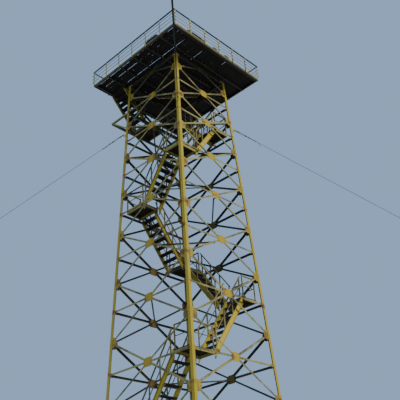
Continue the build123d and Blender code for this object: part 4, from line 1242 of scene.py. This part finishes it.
def rope_path(stay, loose):
    """Tail, upper bend in the plane of the side, the stay, and the lower bend in its upright
    plane with its tail. A loose tail goes on past its clips and hangs down."""
    upper = on_side(loop_shape(7, LOOP) + [UPPER_LOOP, 0])
    if loose:
        upper = np.concatenate([np.array(LOOSE_TAIL) + [UPPER_LOOP, 0, 0], upper])
    lower = loop_shape(7, LOOP)[::-1] * [-1, 1] + [stay.length - LOWER_LOOP, 0]
    return np.concatenate([upper, on_top(lower)])


ROPE_ENDS = 1.5            # length at each end where stations stand closer together


def rope_stations(points):
    """Points read along a path at distances walked: a tenth of the strands' lay apart, and
    half of that over the two ends, where the bends are."""
    walk = np.concatenate([[0], np.cumsum(np.linalg.norm(np.diff(points, axis=0), axis=1))])
    step = ROPE_LAY / 10
    near = np.arange(0, ROPE_ENDS, step / 2)
    middle = np.arange(ROPE_ENDS, walk[-1] - ROPE_ENDS, step)
    here = np.concatenate([near, middle, walk[-1] - near[::-1]])
    return here, np.stack([np.interp(here, walk, points[:, i]) for i in range(3)], -1)


def strand_section(walk):
    """The rope's outline at each station: its radius falls by a sixth between the strands,
    and the outline has turned by the distance walked over the lay."""
    radius = ROPE_RADIUS * np.tile([1.0, 0.83], STRANDS)
    return circle(radius, 2 * STRANDS, 2 * np.pi * walk[:, None] / ROPE_LAY)


def thimble(stay, centre, flat, way):
    """A grooved strip bent round inside the rope's loop and drawn together to a point."""
    path = loop_shape(4, LOOP - 0.010)[1:-2] * [1, 0.80]
    path = flat(path * [way, 1] + [centre, 0])
    groove = [(-0.0006, -0.0095), (0.0022, -0.0080), (0.0004, 0), (0.0022, 0.0080),
              (-0.0006, 0.0095), (-0.0022, 0.0)]
    up = stay.top if flat is on_side else stay.side
    return carried(stay.at(*path), groove, up)


def rope_clips(stay, centre, flat, way):
    """Clips on a doubled end: a saddle under the ropes, a U bolt over them, and two nuts."""
    forms = []
    side, top = (stay.side, stay.top) if flat is on_side else (stay.top, stay.side)
    bend = np.linspace(-np.pi / 2, np.pi / 2, 9)
    lift = np.concatenate([CLIP_FEET, CLIP_TURN * np.cos(bend) - 0.001, CLIP_FEET[::-1]])
    across = CLIP_HALF * np.concatenate([[-1, -1], np.sin(bend), [1, 1]])
    saddle = plank_section([SADDLE_WIDE], [SADDLE_THICK], 0.002)[0]
    for step in CLIPS:
        middle = stay.at(*flat(np.array([(centre + way * step, -TAIL_SIDE / 2)])))[0]
        bolt = middle + across[:, None] * side + lift[:, None] * top
        nuts = middle + np.array([[-CLIP_HALF], [CLIP_HALF]]) * side - CLIP_NUTS * top
        start = middle - SADDLE_DROP * top - SADDLE_LONG / 2 * stay.along
        forms += [carried(bolt, circle(CLIP_ROD, 8), stay.along),
                  prisms(saddle, start, stay.along, side, top, SADDLE_LONG),
                  turned_rings(nuts, -top, SMALL_NUT, 6)]
    return forms


def lay_map(mesh, around, walk):
    """Lays the rope's own map on its quads: across is the share of the way round, up is the
    distance along, in metres. The two caps get none."""
    turn = np.arange(around + 1) / around
    u = np.stack([turn[:-1], turn[1:], turn[1:], turn[:-1]], -1)
    v = np.stack([walk[:-1], walk[:-1], walk[1:], walk[1:]], -1)
    quads = np.stack(np.broadcast_arrays(u[None], v[:, None]), -1).reshape(-1, 2)
    flat = np.concatenate([quads, np.zeros((2 * around, 2))])
    layer = mesh.uv_layers.new(name="lay")
    layer.data.foreach_set("uv", flat.ravel().astype(np.float32))


def build_stays():
    """Ropes with their own map that follows the strands, and all fittings."""
    fittings = {name: [] for name in ("turnbuckles", "shackles", "thimbles", "clips",
                                      "lug_plates", "ground_eyes")}
    for number, stay in enumerate(Stay(anchor) for anchor in ANCHORS):
        path = rope_path(stay, loose=number == 1)
        walk, points = rope_stations(stay.at(*path))
        ring = carried(points, strand_section(walk), stay.side + stay.top)
        rope = skin(f"stay_rope_{number + 1}", ring, "rope_steel",
                    () if number else ["stay_cables"], crease=60)
        lay_map(rope.data, 2 * STRANDS, walk)
        fittings["turnbuckles"] += turnbuckle(stay)
        fittings["shackles"] += shackle(stay)
        for end in ((UPPER_LOOP, on_side, 1), (stay.length - LOWER_LOOP, on_top, -1)):
            fittings["thimbles"].append(thimble(stay, *end))
            fittings["clips"] += rope_clips(stay, *end)
        fittings["lug_plates"].append(holed_plate(
            stay.upright(stay.lug_end - LUG_SIDE / 2, STAY_TOP), stay.out, LUG_SIDE / 2,
            stay.at((-PIN_INSET, 0, 0))[0], LUG_HOLE, LUG_PLATE))
        fittings["ground_eyes"].append(holed_plate(
            stay.upright(stay.eye_start + LUG_SIDE / 2, ANCHOR_HEIGHT + EYE_RISE), stay.out,
            EYE_HALF, stay.at((stay.length + PIN_INSET, 0, 0))[0], EYE_HOLE, EYE_PLATE))
    for name, forms in fittings.items():
        skin(f"stay_{name}", forms, "plate_yellow" if name == "lug_plates" else "fitting_steel",
             ["stay_fittings"] if name == "turnbuckles" else ())


build_stays()


# Floor and light
def add_stage():
    """A plain pale floor, a plain pale surround, and one broad soft light."""
    mesh = bpy.data.meshes.new("floor")
    reach = 90.0
    mesh.from_pydata([(-reach, -reach, 0), (reach, -reach, 0), (reach, reach, 0),
                      (-reach, reach, 0)], [], [(0, 1, 2, 3)])
    pale = Surface("pale_floor", None)
    pale.put(pale.shader.inputs["Base Color"], (0.54, 0.54, 0.525))
    pale.put(pale.shader.inputs["Roughness"], 0.9)
    mesh.materials.append(FINISHES["pale_floor"][0])
    floor = bpy.data.objects.new("floor", mesh)
    scene.collection.objects.link(floor)

    world = bpy.data.worlds.new("pale_surround")
    world.use_nodes = True
    background = world.node_tree.nodes["Background"].inputs
    background["Color"].default_value = (0.30, 0.45, 0.67, 1)
    background["Strength"].default_value = 0.95
    scene.world = world

    sun = bpy.data.lights.new("soft_key", "SUN")
    sun.energy = 3.0
    sun.angle = np.radians(25)
    sun.color = (1.0, 0.95, 0.86)
    key = bpy.data.objects.new("soft_key", sun)
    key.rotation_mode = "QUATERNION"
    key.rotation_quaternion = Vector((0.12, 0.86, -0.50)).to_track_quat("-Z", "Y")
    scene.collection.objects.link(key)


add_camera()
add_stage()
